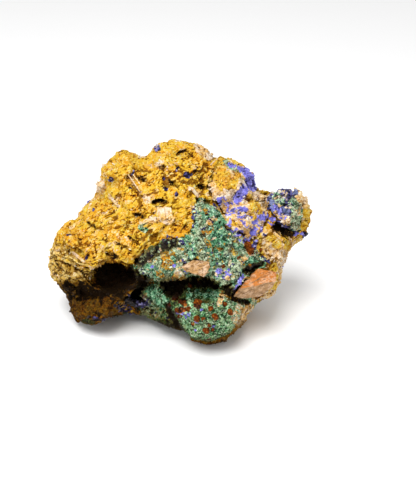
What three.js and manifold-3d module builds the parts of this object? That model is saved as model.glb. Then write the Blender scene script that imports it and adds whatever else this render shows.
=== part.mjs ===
// An azurite and malachite specimen: a lump of ochre limonite matrix with a cave under its ledge,
// malachite crusts, azurite crystals and pale spar on its display side, and two cleaved blocks of spar set
// in the crust.
//
// Millimetres, +Z up. The stone rests on z = 0 with its display side towards -Y, and the origin is under
// the middle of its bounding box. Shapes are laid out on the display plane, which leans back by TILT: a runs
// right, b runs up the plane, and depth runs away from the viewer.
import * as THREE from 'three';
import { ConvexGeometry } from 'three/addons/geometries/ConvexGeometry.js';
import { ImprovedNoise } from 'three/addons/math/ImprovedNoise.js';
import { mergeVertices } from 'three/addons/utils/BufferGeometryUtils.js';
import Module from 'manifold-3d';

const wasm = await Module();
wasm.setup();

// ---------------------------------------------------------------- driving dimensions

const TILT = THREE.MathUtils.degToRad(27); // lean of the display plane
const VIEWING_DISTANCE = 350; // the outline is drawn as an eye this far away sees it
const PLANE_HEIGHT = 26; // height of the display plane's centre above the table
const MIDDLE = new THREE.Vector2(-8, 0.5); // a, b of the stone's middle on the display plane
const FRONT_BULGE = 18; // how far the stone swells towards the viewer
const BACK_BULGE = 23; // and away from the viewer
const STONE_DETAIL = 10; // icosphere subdivision of the matrix
const FRONT_SHARE = 0.35; // crowds the sphere's triangles towards the display side
const SEAT_GAP = 0.3; // clearance between a crust or block and the matrix that carries it

// ---------------------------------------------------------------- the display plane

const noise = new ImprovedNoise();

// Several octaves of noise, each half as large and half as strong as the one before, from about -1 to 1.
function crags(point, wavelength, octaves, seed = 0) {
  let sum = 0;
  let strength = 1;
  let size = wavelength;
  for (let octave = 0; octave < octaves; octave++) {
    sum += strength * noise.noise(point.x / size + seed, point.y / size - seed, point.z / size + 2 * seed);
    strength /= 2;
    size /= 2;
  }
  return sum;
}

// A repeatable stream of numbers from 0 to 1.
function dice(seed) {
  let state = seed;
  return () => {
    state = (state * 1664525 + 1013904223) % 4294967296;
    return state / 4294967296;
  };
}

// The world position of a point of the display plane, at a depth behind it.
function onPlane(a, b, depth) {
  const spread = 1 + depth / VIEWING_DISTANCE;
  return new THREE.Vector3(
    a * spread,
    b * spread * Math.sin(TILT) + depth * Math.cos(TILT),
    b * spread * Math.cos(TILT) - depth * Math.sin(TILT) + PLANE_HEIGHT,
  );
}

// The reverse: where the eye sees a world position on the display plane, and how deep it lies.
function seenAt(point) {
  const z = point.z - PLANE_HEIGHT;
  const depth = point.y * Math.cos(TILT) - z * Math.sin(TILT);
  const spread = 1 + depth / VIEWING_DISTANCE;
  return { a: point.x / spread, b: (point.y * Math.sin(TILT) + z * Math.cos(TILT)) / spread, depth };
}

const right = new THREE.Vector3(1, 0, 0);
const upThePlane = new THREE.Vector3(0, Math.sin(TILT), Math.cos(TILT));
const towardsViewer = new THREE.Vector3(0, -Math.cos(TILT), Math.sin(TILT));

// Sets down a shape made in right, up and towards-the-viewer coordinates, leaning with the display plane or
// level.
function setDown(geometry, { a, b, depth, level = false }) {
  const pose = level
    ? new THREE.Matrix4().makeBasis(right, new THREE.Vector3(0, 0, 1), new THREE.Vector3(0, -1, 0))
    : new THREE.Matrix4().makeBasis(right, upThePlane, towardsViewer);
  return geometry.applyMatrix4(pose.setPosition(onPlane(a, b, depth)));
}

// ---------------------------------------------------------------- outline and relief of the stone

// The outline on the display plane, anticlockwise from the tip of the azurite nub.
const outline = [
  // azurite nub
  [31.7, 8.3], [30.4, 12.2], [27.4, 14.8], [24.8, 15.4], [22.0, 16.2], [19.9, 14.7],
  // neck and right shoulder
  [17.2, 15.4], [14.9, 16.4], [13.9, 20.2], [10.8, 23.7], [6.4, 25.4], [2.8, 25.8],
  // crown
  [-0.6, 28.9], [-4.0, 30.4], [-8.2, 30.7], [-13.0, 30.2], [-16.4, 28.8], [-19.0, 26.2],
  // left crest
  [-21.8, 26.4], [-24.8, 27.4], [-28.1, 25.2], [-31.8, 22.3], [-31.9, 19.7], [-34.3, 17.0], [-33.6, 14.6],
  // left slope and nose
  [-36.2, 11.6], [-39.9, 7.4], [-42.6, 4.8], [-45.6, 3.2], [-47.6, -2.0], [-48.7, -6.2], [-47.5, -11.0],
  // undercut and foot
  [-45.3, -13.8], [-42.6, -17.6], [-41.8, -20.3], [-40.5, -23.8], [-36.9, -25.1], [-32.4, -25.0],
  [-29.3, -23.4],
  // gap between the foot and the lobe
  [-26.6, -21.9], [-22.7, -22.0], [-19.0, -23.4], [-15.4, -24.7], [-10.9, -26.8],
  // lobe
  [-7.6, -28.6], [-4.3, -30.6], [0.6, -31.6], [4.8, -30.8], [7.0, -28.5], [10.3, -26.1], [11.8, -23.0],
  // right edge
  [14.6, -19.8], [16.3, -17.5], [19.3, -17.3], [22.0, -13.2], [23.1, -8.4], [24.2, -3.5], [26.9, -0.8],
  [30.2, 1.4], [30.7, 5.1],
];

const TURN = 2 * Math.PI;
const SPOKES = 240; // directions round MIDDLE in which reaches are worked out

// How far a set of segments, given relative to MIDDLE, reaches along each spoke.
function reaches(segments) {
  const reach = new Array(SPOKES).fill(0);
  for (const [p, q] of segments) {
    const from = Math.atan2(p.y, p.x);
    let sweep = Math.atan2(q.y, q.x) - from;
    sweep -= TURN * Math.round(sweep / TURN);
    const [first, last] = [from, from + sweep].sort((s, t) => s - t).map((angle) => (angle / TURN) * SPOKES);
    for (let spoke = Math.ceil(first); spoke <= last; spoke++) {
      const ray = new THREE.Vector2(Math.cos((spoke / SPOKES) * TURN), Math.sin((spoke / SPOKES) * TURN));
      const along = q.clone().sub(p);
      const distance = p.cross(along) / ray.cross(along);
      const index = ((spoke % SPOKES) + SPOKES) % SPOKES;
      if (Number.isFinite(distance)) reach[index] = Math.max(reach[index], distance);
    }
  }
  return reach;
}

// Reads a table of spokes at any angle.
function atAngle(table, angle) {
  const spoke = (((angle / TURN) * SPOKES) % SPOKES + SPOKES) % SPOKES;
  const low = Math.floor(spoke) % SPOKES;
  return THREE.MathUtils.lerp(table[low], table[(low + 1) % SPOKES], spoke - Math.floor(spoke));
}

const rimPoints = new THREE.CatmullRomCurve3(
  outline.map(([a, b]) => new THREE.Vector3(a - MIDDLE.x, b - MIDDLE.y, 0)), true, 'centripetal',
).getPoints(400).map((p) => new THREE.Vector2(p.x, p.y));
const rimReach = reaches(rimPoints.slice(1).map((p, i) => [rimPoints[i], p]));

// Depth of the rim behind the display plane, by direction in degrees: the lobe stands forward, the nub back.
const rimDepths = [
  [-180, 1], [-160, 3], [-140, 7], [-128, 4], [-112, 3], [-97, 1], [-80, -4], [-62, -5], [-45, 0], [0, 5],
  [20, 5], [45, 4], [90, 4], [140, 2], [180, 1],
];

function rimDepthAt(angle) {
  const degrees = THREE.MathUtils.radToDeg(angle);
  const after = Math.max(1, rimDepths.findIndex(([at]) => at >= degrees));
  const [lastAt, last] = rimDepths[after - 1];
  const [nextAt, next] = rimDepths[after];
  return last + (next - last) * THREE.MathUtils.smoothstep(degrees, lastAt, nextAt);
}

// Swellings of the display side: where, how wide, how far towards the viewer, and how flat on top, 0 to 1.
const swellings = [
  { name: 'crown', a: -6, b: 24, radius: 13, height: 3.0, flat: 0.2 },
  { name: 'left crest', a: -27, b: 21, radius: 9, height: 3.2, flat: 0.3 },
  { name: 'saddle', a: -19, b: 24, radius: 5, height: -2.6, flat: 0.1 },
  { name: 'brow', a: -14, b: 6, radius: 15, height: 2.2, flat: 0.3 },
  { name: 'nose', a: -40, b: -4, radius: 9, height: 6.0, flat: 0.5 },
  { name: 'ledge over the cave', a: -28, b: -2, radius: 9, height: 5.0, flat: 0.5 },
  { name: 'undercut of the nose', a: -37, b: -15, radius: 7, height: -4.5, flat: 0.3 },
  { name: 'foot', a: -35, b: -21.5, radius: 6.5, height: 2.6, flat: 0.3 },
  { name: 'recess beside the foot', a: -20, b: -18.5, radius: 7, height: -6.5, flat: 0.3 },
  { name: 'left crust bed', a: -15, b: -7, radius: 8, height: 2.4, flat: 0.5 },
  { name: 'green face', a: 5, b: -5, radius: 12, height: 2.4, flat: 0.4 },
  { name: 'dark recess', a: -3, b: -15.5, radius: 7, height: -5.0, flat: 0.3 },
  { name: 'lobe', a: 0.5, b: -23, radius: 11, height: 5.0, flat: 0.55 },
  { name: 'right cheek', a: 20, b: -2, radius: 8, height: 4.2, flat: 0.4 },
  { name: 'block bed', a: 15, b: -13, radius: 7, height: 2.5, flat: 0.4 },
  { name: 'neck', a: 17, b: 9, radius: 6, height: -2.6, flat: 0.2 },
  { name: 'nub', a: 25.5, b: 8.5, radius: 8, height: 4.4, flat: 0.4 },
  { name: 'right shoulder', a: 8, b: 17, radius: 9, height: 2.0, flat: 0.4 },
];

function reliefAt(a, b) {
  return swellings.reduce((sum, bump) => {
    const away = Math.hypot(a - bump.a, b - bump.b) / bump.radius;
    return sum + bump.height * (1 - THREE.MathUtils.smoothstep(away, bump.flat, 1.25));
  }, 0);
}

// Broken faces of the back and sides: a plane's outward normal and its distance from the stone's middle.
const breaks = [
  { normal: [0.1, 0.93, 0.3], distance: 19 },
  { normal: [-0.72, 0.6, 0.2], distance: 31 },
  { normal: [0.66, 0.7, -0.1], distance: 26 },
  { normal: [-0.35, 0.6, 0.7], distance: 25 },
  { normal: [0.5, 0.5, 0.7], distance: 25 },
  { normal: [0.05, 0.75, -0.66], distance: 23 },
  { normal: [0.9, 0.3, -0.35], distance: 34 },
].map(({ normal, distance }) => ({ normal: new THREE.Vector3(...normal).normalize(), distance }));
const BREAK_FLATNESS = 0.85;

// The underside: a rough surface this high over the table, from which broad feet come down to it.
const BELLY_HEIGHT = 2.6;
const BELLY_SQUASH = 0.15; // what is left of the stone's own relief below that height
const FOOT_REACH = 7; // what lies lower than this is drawn down at the feet
const FOOT_BOTTOM = -1; // to here, below the table, where the feet are trimmed flat
const feet = [
  { x: -34, y: 0, radius: 7 },
  { x: 0, y: -14, radius: 7 },
  { x: -19, y: 8, radius: 7 },
  { x: 8, y: 6, radius: 7 },
];

function underside(point) {
  const belly = BELLY_HEIGHT + 0.8 * crags(point, 9, 2, 3);
  const z = point.z < belly ? belly + (point.z - belly) * BELLY_SQUASH : point.z;
  const drop = Math.max(...feet.map((foot) => {
    const away = Math.hypot(point.x - foot.x, point.y - foot.y) / foot.radius;
    return 1 - THREE.MathUtils.smoothstep(away, 0.2, 1.2);
  }));
  return z < FOOT_REACH ? THREE.MathUtils.lerp(z, FOOT_BOTTOM, drop) : z;
}

// ---------------------------------------------------------------- making solids

// A geometry as a manifold solid.
function solid(geometry) {
  const bare = geometry.clone();
  bare.deleteAttribute('normal');
  bare.deleteAttribute('uv');
  const merged = mergeVertices(bare, 1e-4);
  return new wasm.Manifold(new wasm.Mesh({
    numProp: 3,
    vertProperties: new Float32Array(merged.attributes.position.array),
    triVerts: new Uint32Array(merged.index.array),
  }));
}

// A manifold solid as a mesh node of the part.
function node(name, made, color, roughness) {
  const { vertProperties, triVerts } = made.getMesh();
  const geometry = new THREE.BufferGeometry()
    .setAttribute('position', new THREE.BufferAttribute(vertProperties, 3))
    .setIndex(new THREE.BufferAttribute(triVerts, 1));
  geometry.computeVertexNormals();
  const material = new THREE.MeshStandardMaterial({ name, color, roughness, metalness: 0 });
  const mesh = new THREE.Mesh(geometry, material);
  mesh.name = name;
  return mesh;
}

const union = (solids) => solids.reduce((all, one) => all.add(one));
const cut = (from, solids) => solids.reduce((rest, one) => rest.subtract(one), from);

// An icosphere whose shared vertices are merged, so that it can be pushed about as one skin.
function skin(detail) {
  const ball = new THREE.IcosahedronGeometry(1, detail);
  ball.deleteAttribute('normal');
  ball.deleteAttribute('uv');
  return mergeVertices(ball, 1e-5);
}

// Moves every vertex of a geometry to move(vertex, index).
function reshape(geometry, move) {
  const position = geometry.attributes.position;
  for (let i = 0; i < position.count; i++) {
    const moved = move(new THREE.Vector3().fromBufferAttribute(position, i), i);
    position.setXYZ(i, moved.x, moved.y, moved.z);
  }
  return geometry;
}

// Pushes a geometry's vertices out along their normals by push(vertex).
function swell(geometry, push) {
  geometry.computeVertexNormals();
  const normals = geometry.attributes.normal.clone();
  return reshape(geometry, (point, i) => {
    const outward = new THREE.Vector3().fromBufferAttribute(normals, i);
    return point.clone().addScaledVector(outward, push(point));
  });
}

// ---------------------------------------------------------------- the stone

const stoneMiddle = onPlane(MIDDLE.x, MIDDLE.y, 0);

// Crowds the points of a unit sphere towards -Y, and leaves them on the sphere.
function crowdForward(p) {
  const stretch = 1 - FRONT_SHARE * p.y;
  const sideways = Math.sqrt(1 - FRONT_SHARE ** 2) / stretch;
  return new THREE.Vector3(p.x * sideways, (p.y - FRONT_SHARE) / stretch, p.z * sideways);
}

// The smooth form: a ball stretched to the outline, with the relief on its display side and breaks behind.
function smoothStone(detail) {
  return reshape(skin(detail), (onBall) => {
    const p = crowdForward(onBall);
    const share = Math.min(1, Math.hypot(p.x, p.z));
    const inward = Math.sqrt(1 - share * share);
    const angle = Math.atan2(p.z, p.x);
    const a = MIDDLE.x + atAngle(rimReach, angle) * share * Math.cos(angle);
    const b = MIDDLE.y + atAngle(rimReach, angle) * share * Math.sin(angle);
    const forward = FRONT_BULGE * inward ** 0.8 + reliefAt(a, b) * inward ** 0.5;
    const bulge = p.y < 0 ? -forward : BACK_BULGE * inward ** 0.7;
    const placed = onPlane(a, b, rimDepthAt(angle) * share ** 2 + bulge);
    for (const { normal, distance } of breaks) {
      const beyond = placed.clone().sub(stoneMiddle).dot(normal) - distance;
      if (beyond > 0) placed.addScaledVector(normal, -beyond * BREAK_FLATNESS);
    }
    return placed;
  });
}

// Draws a form in or out, direction by direction, until the eye sees the outline.
function fitOutline(form) {
  const seen = (point) => {
    const { a, b, depth } = seenAt(point);
    return { at: new THREE.Vector2(a, b).sub(MIDDLE), depth };
  };
  const position = form.attributes.position;
  const at = Array.from({ length: position.count }, (_, i) => (
    seen(new THREE.Vector3().fromBufferAttribute(position, i)).at));
  const edges = [];
  for (let i = 0; i < form.index.count; i += 3) {
    const [p, q, r] = [0, 1, 2].map((k) => at[form.index.getX(i + k)]);
    edges.push([p, q], [q, r], [r, p]);
  }
  const reach = reaches(edges);
  const stretch = rimReach.map((wanted, spoke) => wanted / reach[spoke]);
  return reshape(form, (point) => {
    const { at: place, depth } = seen(point);
    place.multiplyScalar(atAngle(stretch, Math.atan2(place.y, place.x))).add(MIDDLE);
    return onPlane(place.x, place.y, depth);
  });
}

// The stone's rough surface, from which crusts are grown or beds sunk by grow(point).
function stone(detail, grow = () => 0) {
  const rough = swell(smoothStone(detail), (p) => 1.5 * crags(p, 12, 3) - 0.9 * Math.abs(crags(p, 7, 2, 7)));
  fitOutline(fitOutline(rough));
  reshape(rough, (p) => p.setZ(underside(p)));
  return swell(rough, grow);
}

const bareStone = stone(STONE_DETAIL);

// The nearest point of the bare stone that the eye sees at a, b, with the outward normal there.
function surfaceAt(a, b) {
  const start = onPlane(a, b, -80);
  const ray = new THREE.Ray(start, onPlane(a, b, 0).sub(start).normalize());
  const { array } = bareStone.index;
  const position = bareStone.attributes.position;
  const face = new THREE.Triangle();
  const hit = new THREE.Vector3();
  let nearest = null;
  for (let i = 0; i < array.length; i += 3) {
    face.setFromAttributeAndIndices(position, array[i], array[i + 1], array[i + 2]);
    if (ray.intersectTriangle(face.a, face.b, face.c, true, hit)) {
      const distance = start.distanceTo(hit);
      if (!nearest || distance < nearest.distance) {
        nearest = { distance, point: hit.clone(), normal: face.getNormal(new THREE.Vector3()) };
      }
    }
  }
  return nearest && { ...nearest, depth: seenAt(nearest.point).depth };
}

// A rough ball at a place of the display plane: radii along a, b and depth, turned about the line of sight.
function lump({ radii, turn = 0, rough = 0.12, detail = 2, seed = 0, ...place }) {
  const grain = seed + place.a + place.b;
  const ball = reshape(skin(detail), (p) => p.multiplyScalar(1 + rough * crags(p, 0.9, 2, grain)));
  ball.scale(...radii).rotateZ(THREE.MathUtils.degToRad(turn));
  return solid(setDown(ball, place));
}

// A shape's place with its middle this far in front of the stone's surface.
function onSurface({ a, b, proud = 0, ...shape }) {
  return { a, b, depth: surfaceAt(a, b).depth - proud, ...shape };
}

// An angular slab of rock: an uneven many-sided plate, narrower towards the viewer.
function slab({ radii, turn = 0, sides = 5, seed = 1, ...place }) {
  const roll = dice(seed);
  const corners = Array.from({ length: sides }, (_, i) => ((i + 0.7 * roll()) / sides) * TURN);
  const rings = [[-1, 0.9], [0.2, 1], [1, 0.6]];
  const points = rings.flatMap(([forward, spread]) => corners.map((angle) => {
    const reach = spread * (0.75 + 0.35 * roll());
    return new THREE.Vector3(
      radii[0] * reach * Math.cos(angle),
      radii[1] * reach * Math.sin(angle),
      radii[2] * (forward + 0.3 * (roll() - 0.5)),
    );
  }));
  return solid(setDown(new ConvexGeometry(points).rotateZ(THREE.MathUtils.degToRad(turn)), place));
}

// ---------------------------------------------------------------- hollows and pits

const hollowShapes = {
  cave: { a: -28.8, b: -9.4, proud: -4, level: true, radii: [6.6, 5.2, 14], turn: -6, rough: 0.2 },
  caveFloor: { a: -31.0, b: -12.4, proud: -1, level: true, radii: [5.4, 2.8, 8], turn: 8, rough: 0.25 },
  recessLeft: { a: -9.2, b: -13.8, proud: -2, level: true, radii: [5.2, 4.1, 9], turn: -6, rough: 0.2 },
  recessRight: {
    a: -1.8, b: -13.6, proud: -3, level: true, radii: [5.6, 4.3, 9], turn: -4, rough: 0.2, seed: 4,
  },
  druseHollow: { a: -21.0, b: -17.0, proud: -2, radii: [4.8, 3.2, 8], turn: -14, detail: 1, rough: 0.25 },
  crackUnderNub: { a: 24.0, b: 3.9, proud: 0, radii: [4.6, 0.9, 5], turn: -24, detail: 1, rough: 0.2 },
};
const hollows = Object.values(hollowShapes).map((shape) => lump(onSurface(shape)));

// Small pits that go a little way into the ochre face.
const pits = [
  { a: -23.3, b: 19.1, radii: [2.0, 1.2, 2.2], turn: -12 },
  { a: -15.1, b: 11.9, radii: [2.2, 0.8, 2.2], turn: 8 },
  { a: -0.9, b: 16.8, radii: [1.8, 0.8, 2.2], turn: -10 },
  { a: -21.4, b: 7.6, radii: [1.6, 0.8, 2.0], turn: -6 },
  { a: -7.6, b: 27.0, radii: [1.7, 1.2, 1.8], turn: 30 },
  { a: -10.4, b: 17.4, radii: [1.3, 0.8, 1.8], turn: 25 },
].map((pit) => lump({ ...onSurface(pit), detail: 0 }));

// ---------------------------------------------------------------- crusts

// Where each crust lies on the display plane, how thick it is, and how far it reaches round the rim.
const crusts = {
  malachite: {
    zone: [
      [-3.4, 12.9], [0.4, 12.0], [2.6, 9.6], [3.4, 6.6], [6.0, 3.4], [11.0, 0.4], [17.4, -5.4], [14.5, -8.0],
      [10.6, -8.6], [8.8, -12.4], [3.0, -14.4], [0, -12.4], [-13.0, -13.0], [-17.5, -12.1], [-21.6, -9.5],
      [-21.7, -5.6], [-18.7, -2.2], [-12.7, 0.2], [-7.6, 0.9], [-4.5, 3.3], [-4.0, 8.3],
    ],
    thickness: 2.0, farDepth: 2,
  },
  lobe: {
    zone: [
      [-12.0, -19.3], [-10.0, -16.7], [-1.8, -16.5], [6.0, -17.3], [10.4, -20.1], [8.8, -24.4], [6.4, -27.8],
      [0.8, -30.4], [-4.6, -29.4], [-8.2, -26.2], [-10.0, -22.5],
    ],
    thickness: 1.8, farDepth: -3,
  },
  azurite: {
    zone: [
      [18.6, 18.0], [27.0, 18.0], [28.4, 14.0], [28.9, 10.1], [29.6, 6.4], [28.4, 5.0], [25.7, 5.0],
      [22.3, 5.8], [20.0, 7.0], [19.2, 9.5], [19.8, 12.5],
    ],
    thickness: 2.0, farDepth: 1,
  },
  spar: {
    zone: [
      [3.6, 24.6], [9.7, 22.6], [13.0, 19.2], [13.6, 15.4], [17.6, 14.2], [18.0, 10.8], [18.3, 7.7],
      [16.6, 4.4], [14.6, 1.0], [12.8, 0.4], [9.7, 3.0], [6.2, 6.0], [4.8, 8.6], [3.2, 11.6], [1.0, 14.0],
      [0.2, 17.1], [1.6, 21.0],
    ],
    thickness: 1.8, farDepth: 2,
  },
};

// How far inside a zone a place of the display plane lies, negative outside.
function insideBy(zone, a, b) {
  let inside = false;
  let nearest = Infinity;
  zone.forEach(([pa, pb], i) => {
    const [qa, qb] = zone[(i + 1) % zone.length];
    const along = ((a - pa) * (qa - pa) + (b - pb) * (qb - pb)) / ((qa - pa) ** 2 + (qb - pb) ** 2);
    const share = THREE.MathUtils.clamp(along, 0, 1);
    nearest = Math.min(nearest, Math.hypot(a - pa - share * (qa - pa), b - pb - share * (qb - pb)));
    if (pb > b !== qb > b && a < pa + ((b - pb) / (qb - pb)) * (qa - pa)) inside = !inside;
  });
  return inside ? nearest : -nearest;
}

const COVER_EDGE = [-2.0, 0.8]; // from no cover to full cover, as distances inside a crust's zone

// How much a crust covers the stone at a point, from 0 to 1.
function cover({ zone, farDepth }, point) {
  const { a, b, depth } = seenAt(point);
  const across = THREE.MathUtils.smoothstep(insideBy(zone, a, b), ...COVER_EDGE);
  return across * (1 - THREE.MathUtils.smoothstep(depth, farDepth - 2, farDepth + 2));
}

// The stone sunk under every crust, which is what the crusts grow on.
function sunkStone() {
  return stone(STONE_DETAIL, (p) => (
    -Math.max(...Object.values(crusts).map((crust) => crust.thickness * cover(crust, p)))));
}

const CRUST_DIP = 2.5; // outside its zone a crust's face runs this far under the stone, which ends the crust

// A crust clear of the sunk stone by the seat gap, with its growths joined to its face.
function grownCrust(crust, rise, growths) {
  const face = stone(STONE_DETAIL, (p) => {
    const covered = cover(crust, p);
    return rise(p) * covered - CRUST_DIP * (1 - covered);
  });
  const floor = stone(STONE_DETAIL, (p) => SEAT_GAP - crust.thickness * cover(crust, p));
  return cut(union([solid(face), ...growths]), [solid(floor), ...hollows]);
}

const GROWTH_MARGIN = 1.4; // growths keep this far inside their zone's edge
const GROWTH_DEPTH_MARGIN = 4.5; // and this far in front of the depth to which their crust reaches
const TAN_BLOCK_MIDDLE = [-3.6, -8.0]; // a, b of the tan block, which the crust leaves clear

// Places on a crust, about as far apart as spacing.
function spots({ zone, farDepth }, spacing, seed) {
  const roll = dice(seed);
  const [as, bs] = [0, 1].map((k) => zone.map((p) => p[k]));
  const found = [];
  for (let b = Math.min(...bs); b < Math.max(...bs); b += spacing * 0.87) {
    for (let a = Math.min(...as); a < Math.max(...as); a += spacing) {
      const spot = [a + spacing * (roll() - 0.5), b + spacing * (roll() - 0.5)];
      const depth = surfaceAt(...spot)?.depth;
      const inFront = depth < farDepth - GROWTH_DEPTH_MARGIN;
      if (inFront && insideBy(zone, ...spot) > GROWTH_MARGIN) found.push(spot);
    }
  }
  return found;
}

// A crystal standing on the stone: a flat-sided prism with a chisel end, leaning from the surface normal.
function crystal([a, b], length, width, thickness, roll) {
  const { point, normal } = surfaceAt(a, b);
  const [w, t] = [width / 2, thickness / 2];
  const corners = [[-w, -t], [w, -t], [w, t], [-w, t]];
  const blade = new ConvexGeometry([
    ...corners.map(([x, y]) => new THREE.Vector3(x, y, -length * 0.45)),
    ...corners.map(([x, y]) => new THREE.Vector3(x, y, length * 0.35)),
    new THREE.Vector3(-w * 0.5, 0, length * 0.55),
    new THREE.Vector3(w * 0.5, 0, length * 0.55),
  ]);
  const lean = new THREE.Vector3(roll() - 0.5, roll() - 0.5, roll() - 0.5);
  const axis = normal.clone().add(lean.multiplyScalar(1.5)).normalize();
  blade.rotateZ(roll() * Math.PI);
  blade.applyQuaternion(new THREE.Quaternion().setFromUnitVectors(new THREE.Vector3(0, 0, 1), axis));
  return solid(blade.translate(point.x, point.y, point.z));
}

// A small knob of crystals on the stone.
function knob([a, b], radius, proud, roll) {
  const radii = [radius * (0.8 + 0.5 * roll()), radius * (0.8 + 0.4 * roll()), radius];
  return lump(onSurface({ a, b, proud, radii, turn: 180 * roll(), rough: 0.3, detail: 0, seed: roll() }));
}

function malachiteCrust() {
  const roll = dice(11);
  const knobs = spots(crusts.malachite, 5.2, 5)
    .filter(([a, b]) => Math.hypot(a - TAN_BLOCK_MIDDLE[0], b - TAN_BLOCK_MIDDLE[1]) > 6)
    .map((spot) => knob(spot, 1.5 + 1.1 * roll(), 0, roll));
  return grownCrust(crusts.malachite, (p) => -0.3 + 0.7 * crags(p, 3, 1, 7), knobs);
}

// Brown goethite grains that stand out of the lobe's crust: a, b and radius.
const goethiteGrains = [
  [-3.2, -18.9, 1.4], [-7.2, -18.6, 1.2], [-9.0, -20.5, 1.1], [-6.6, -20.8, 1.2], [-3.4, -23.3, 1.3],
  [-1.4, -23.2, 1.0], [2.2, -22.6, 1.3], [6.5, -21.3, 1.3], [0.8, -20.3, 1.1], [-0.5, -26.8, 1.4],
];

function lobeCrust() {
  const roll = dice(23);
  const grains = goethiteGrains.map(([a, b, radius]) => knob([a, b], radius, 0.5, roll));
  const knobs = spots(crusts.lobe, 7, 3).map((spot) => knob(spot, 1.2 + 0.6 * roll(), 0, roll));
  return grownCrust(crusts.lobe, (p) => 0.3 + 0.4 * crags(p, 3, 1, 2), [...grains, ...knobs]);
}

function azuriteCrystals() {
  const roll = dice(37);
  const growths = spots(crusts.azurite, 3.2, 8).map(
    (spot) => crystal(spot, 3.6 + 2 * roll(), 2.0 + 1.2 * roll(), 1.2 + 0.8 * roll(), roll));
  return grownCrust(crusts.azurite, () => -0.2, growths);
}

function paleSpar() {
  const roll = dice(41);
  const growths = spots(crusts.spar, 4.8, 4).map(
    (spot) => crystal(spot, 3.4 + 1.6 * roll(), 3.6 + 1.8 * roll(), 2.4 + 1.4 * roll(), roll));
  return grownCrust(crusts.spar, () => -0.1, growths);
}

// ---------------------------------------------------------------- blocks of spar

// A cleaved block: its corners as a, b and how far each stands in front of the stone's surface at their
// middle.
function block(corners, grow = 0) {
  const middle = [0, 1, 2].map((k) => corners.reduce((sum, corner) => sum + corner[k], 0) / corners.length);
  const { depth } = surfaceAt(middle[0], middle[1]);
  const points = corners.map((corner) => {
    const away = corner.map((value, k) => value - middle[k]);
    const stretch = 1 + grow / Math.hypot(...away);
    const [a, b, proud] = middle.map((value, k) => value + away[k] * stretch);
    return onPlane(a, b, depth - proud);
  });
  return solid(new ConvexGeometry(points));
}

const orangeBlock = [
  [11.3, -11.6, 0.8], [15.3, -8.2, 0.2], [20.9, -9.3, 0.4], [20.6, -11.9, 2.2], [9.4, -14.3, 2.6],
  [19.5, -13.9, 1.6], [15.3, -16.7, 0.2], [10.7, -17.4, 0.4], [7.8, -16.6, 1.4],
  [12.5, -10.5, -4], [19.8, -10, -4], [18.5, -14, -4], [10.5, -15.5, -4],
];
const tanBlock = [
  [-8.2, -7.6, 1.6], [-4.4, -5.6, 1.4], [0.4, -5.8, 1.4], [0.8, -7.8, 2.6], [-1.2, -10.8, 3.2],
  [-3.9, -9.8, 3.6], [-7.0, -8.8, 3.0], [-6, -7, -3], [-1, -7, -3], [-2, -9.5, -3],
];
const SOCKET_GROWTH = 0.5; // a socket's corners stand out this far, and its faces by about the seat gap

// ---------------------------------------------------------------- ledges and rims of the matrix

const ledges = [
  { name: 'upper ledge of the nose', a: -40, b: -0.5, proud: -1, radii: [6.0, 2.8, 4.2], turn: -32 },
  { name: 'middle ledge of the nose', a: -40.5, b: -5.6, proud: -0.6, radii: [6.0, 2.3, 4.2], turn: -26 },
  { name: 'lower ledge of the nose', a: -40.0, b: -10.0, proud: -0.4, radii: [6.2, 1.8, 4], turn: -18 },
  { name: 'lip of the cave', a: -33.2, b: -6.0, proud: -0.8, radii: [5.0, 2.0, 4], turn: 16 },
  { name: 'roof of the cave', a: -26.4, b: -4.6, proud: -1, radii: [4.2, 2.2, 4], turn: -18 },
  { name: 'shelf under the nose', a: -40.6, b: -14.8, proud: -0.6, radii: [3.6, 1.2, 3], turn: -12 },
  { name: 'left shoulder', a: -31.6, b: 17.0, proud: -2, radii: [2.4, 2.0, 4], turn: 30 },
  { name: 'crest block', a: -26.0, b: 20.5, proud: -1.8, radii: [6, 4, 3.4], turn: 28 },
  { name: 'brow block', a: -18.0, b: 3.6, proud: -1.8, radii: [7, 3.4, 3], turn: 10 },
  { name: 'brow edge', a: -11.4, b: 6.8, proud: -1.6, radii: [5.0, 2.6, 2.8], turn: -6 },
  { name: 'cheek crystals', a: 21.2, b: -0.6, proud: -1, radii: [3.8, 3.4, 3], turn: 10 },
  { name: 'cheek corner', a: 20.5, b: -5.4, proud: -1, radii: [2.8, 2.4, 2.6], turn: -30 },
].map((shape, i) => slab({ ...onSurface(shape), seed: 100 + i }));

// ---------------------------------------------------------------- crystals in the recesses

// A thin crust of small crystals on the floor of the hollow beside the foot.
function hollowDruse() {
  const shape = onSurface(hollowShapes.druseHollow);
  const shell = lump({ ...shape, radii: shape.radii.map((r) => r - SEAT_GAP) });
  const space = lump({ ...shape, b: shape.b + 1.4, radii: [shape.radii[0], shape.radii[1], 12] });
  const front = solid(stone(STONE_DETAIL, () => -0.6));
  const roll = dice(53);
  const points = Array.from({ length: 6 }, (_, i) => lump({
    a: shape.a - 3 + 1.1 * i,
    b: shape.b - 2.1 + 0.5 * roll(),
    depth: shape.depth - 4 + 8 * roll(),
    radii: [1.0, 1.0, 1.0],
    rough: 0.3,
    detail: 0,
    seed: i,
  }));
  return union([shell.subtract(space), ...points]).intersect(shell).intersect(front);
}

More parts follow.
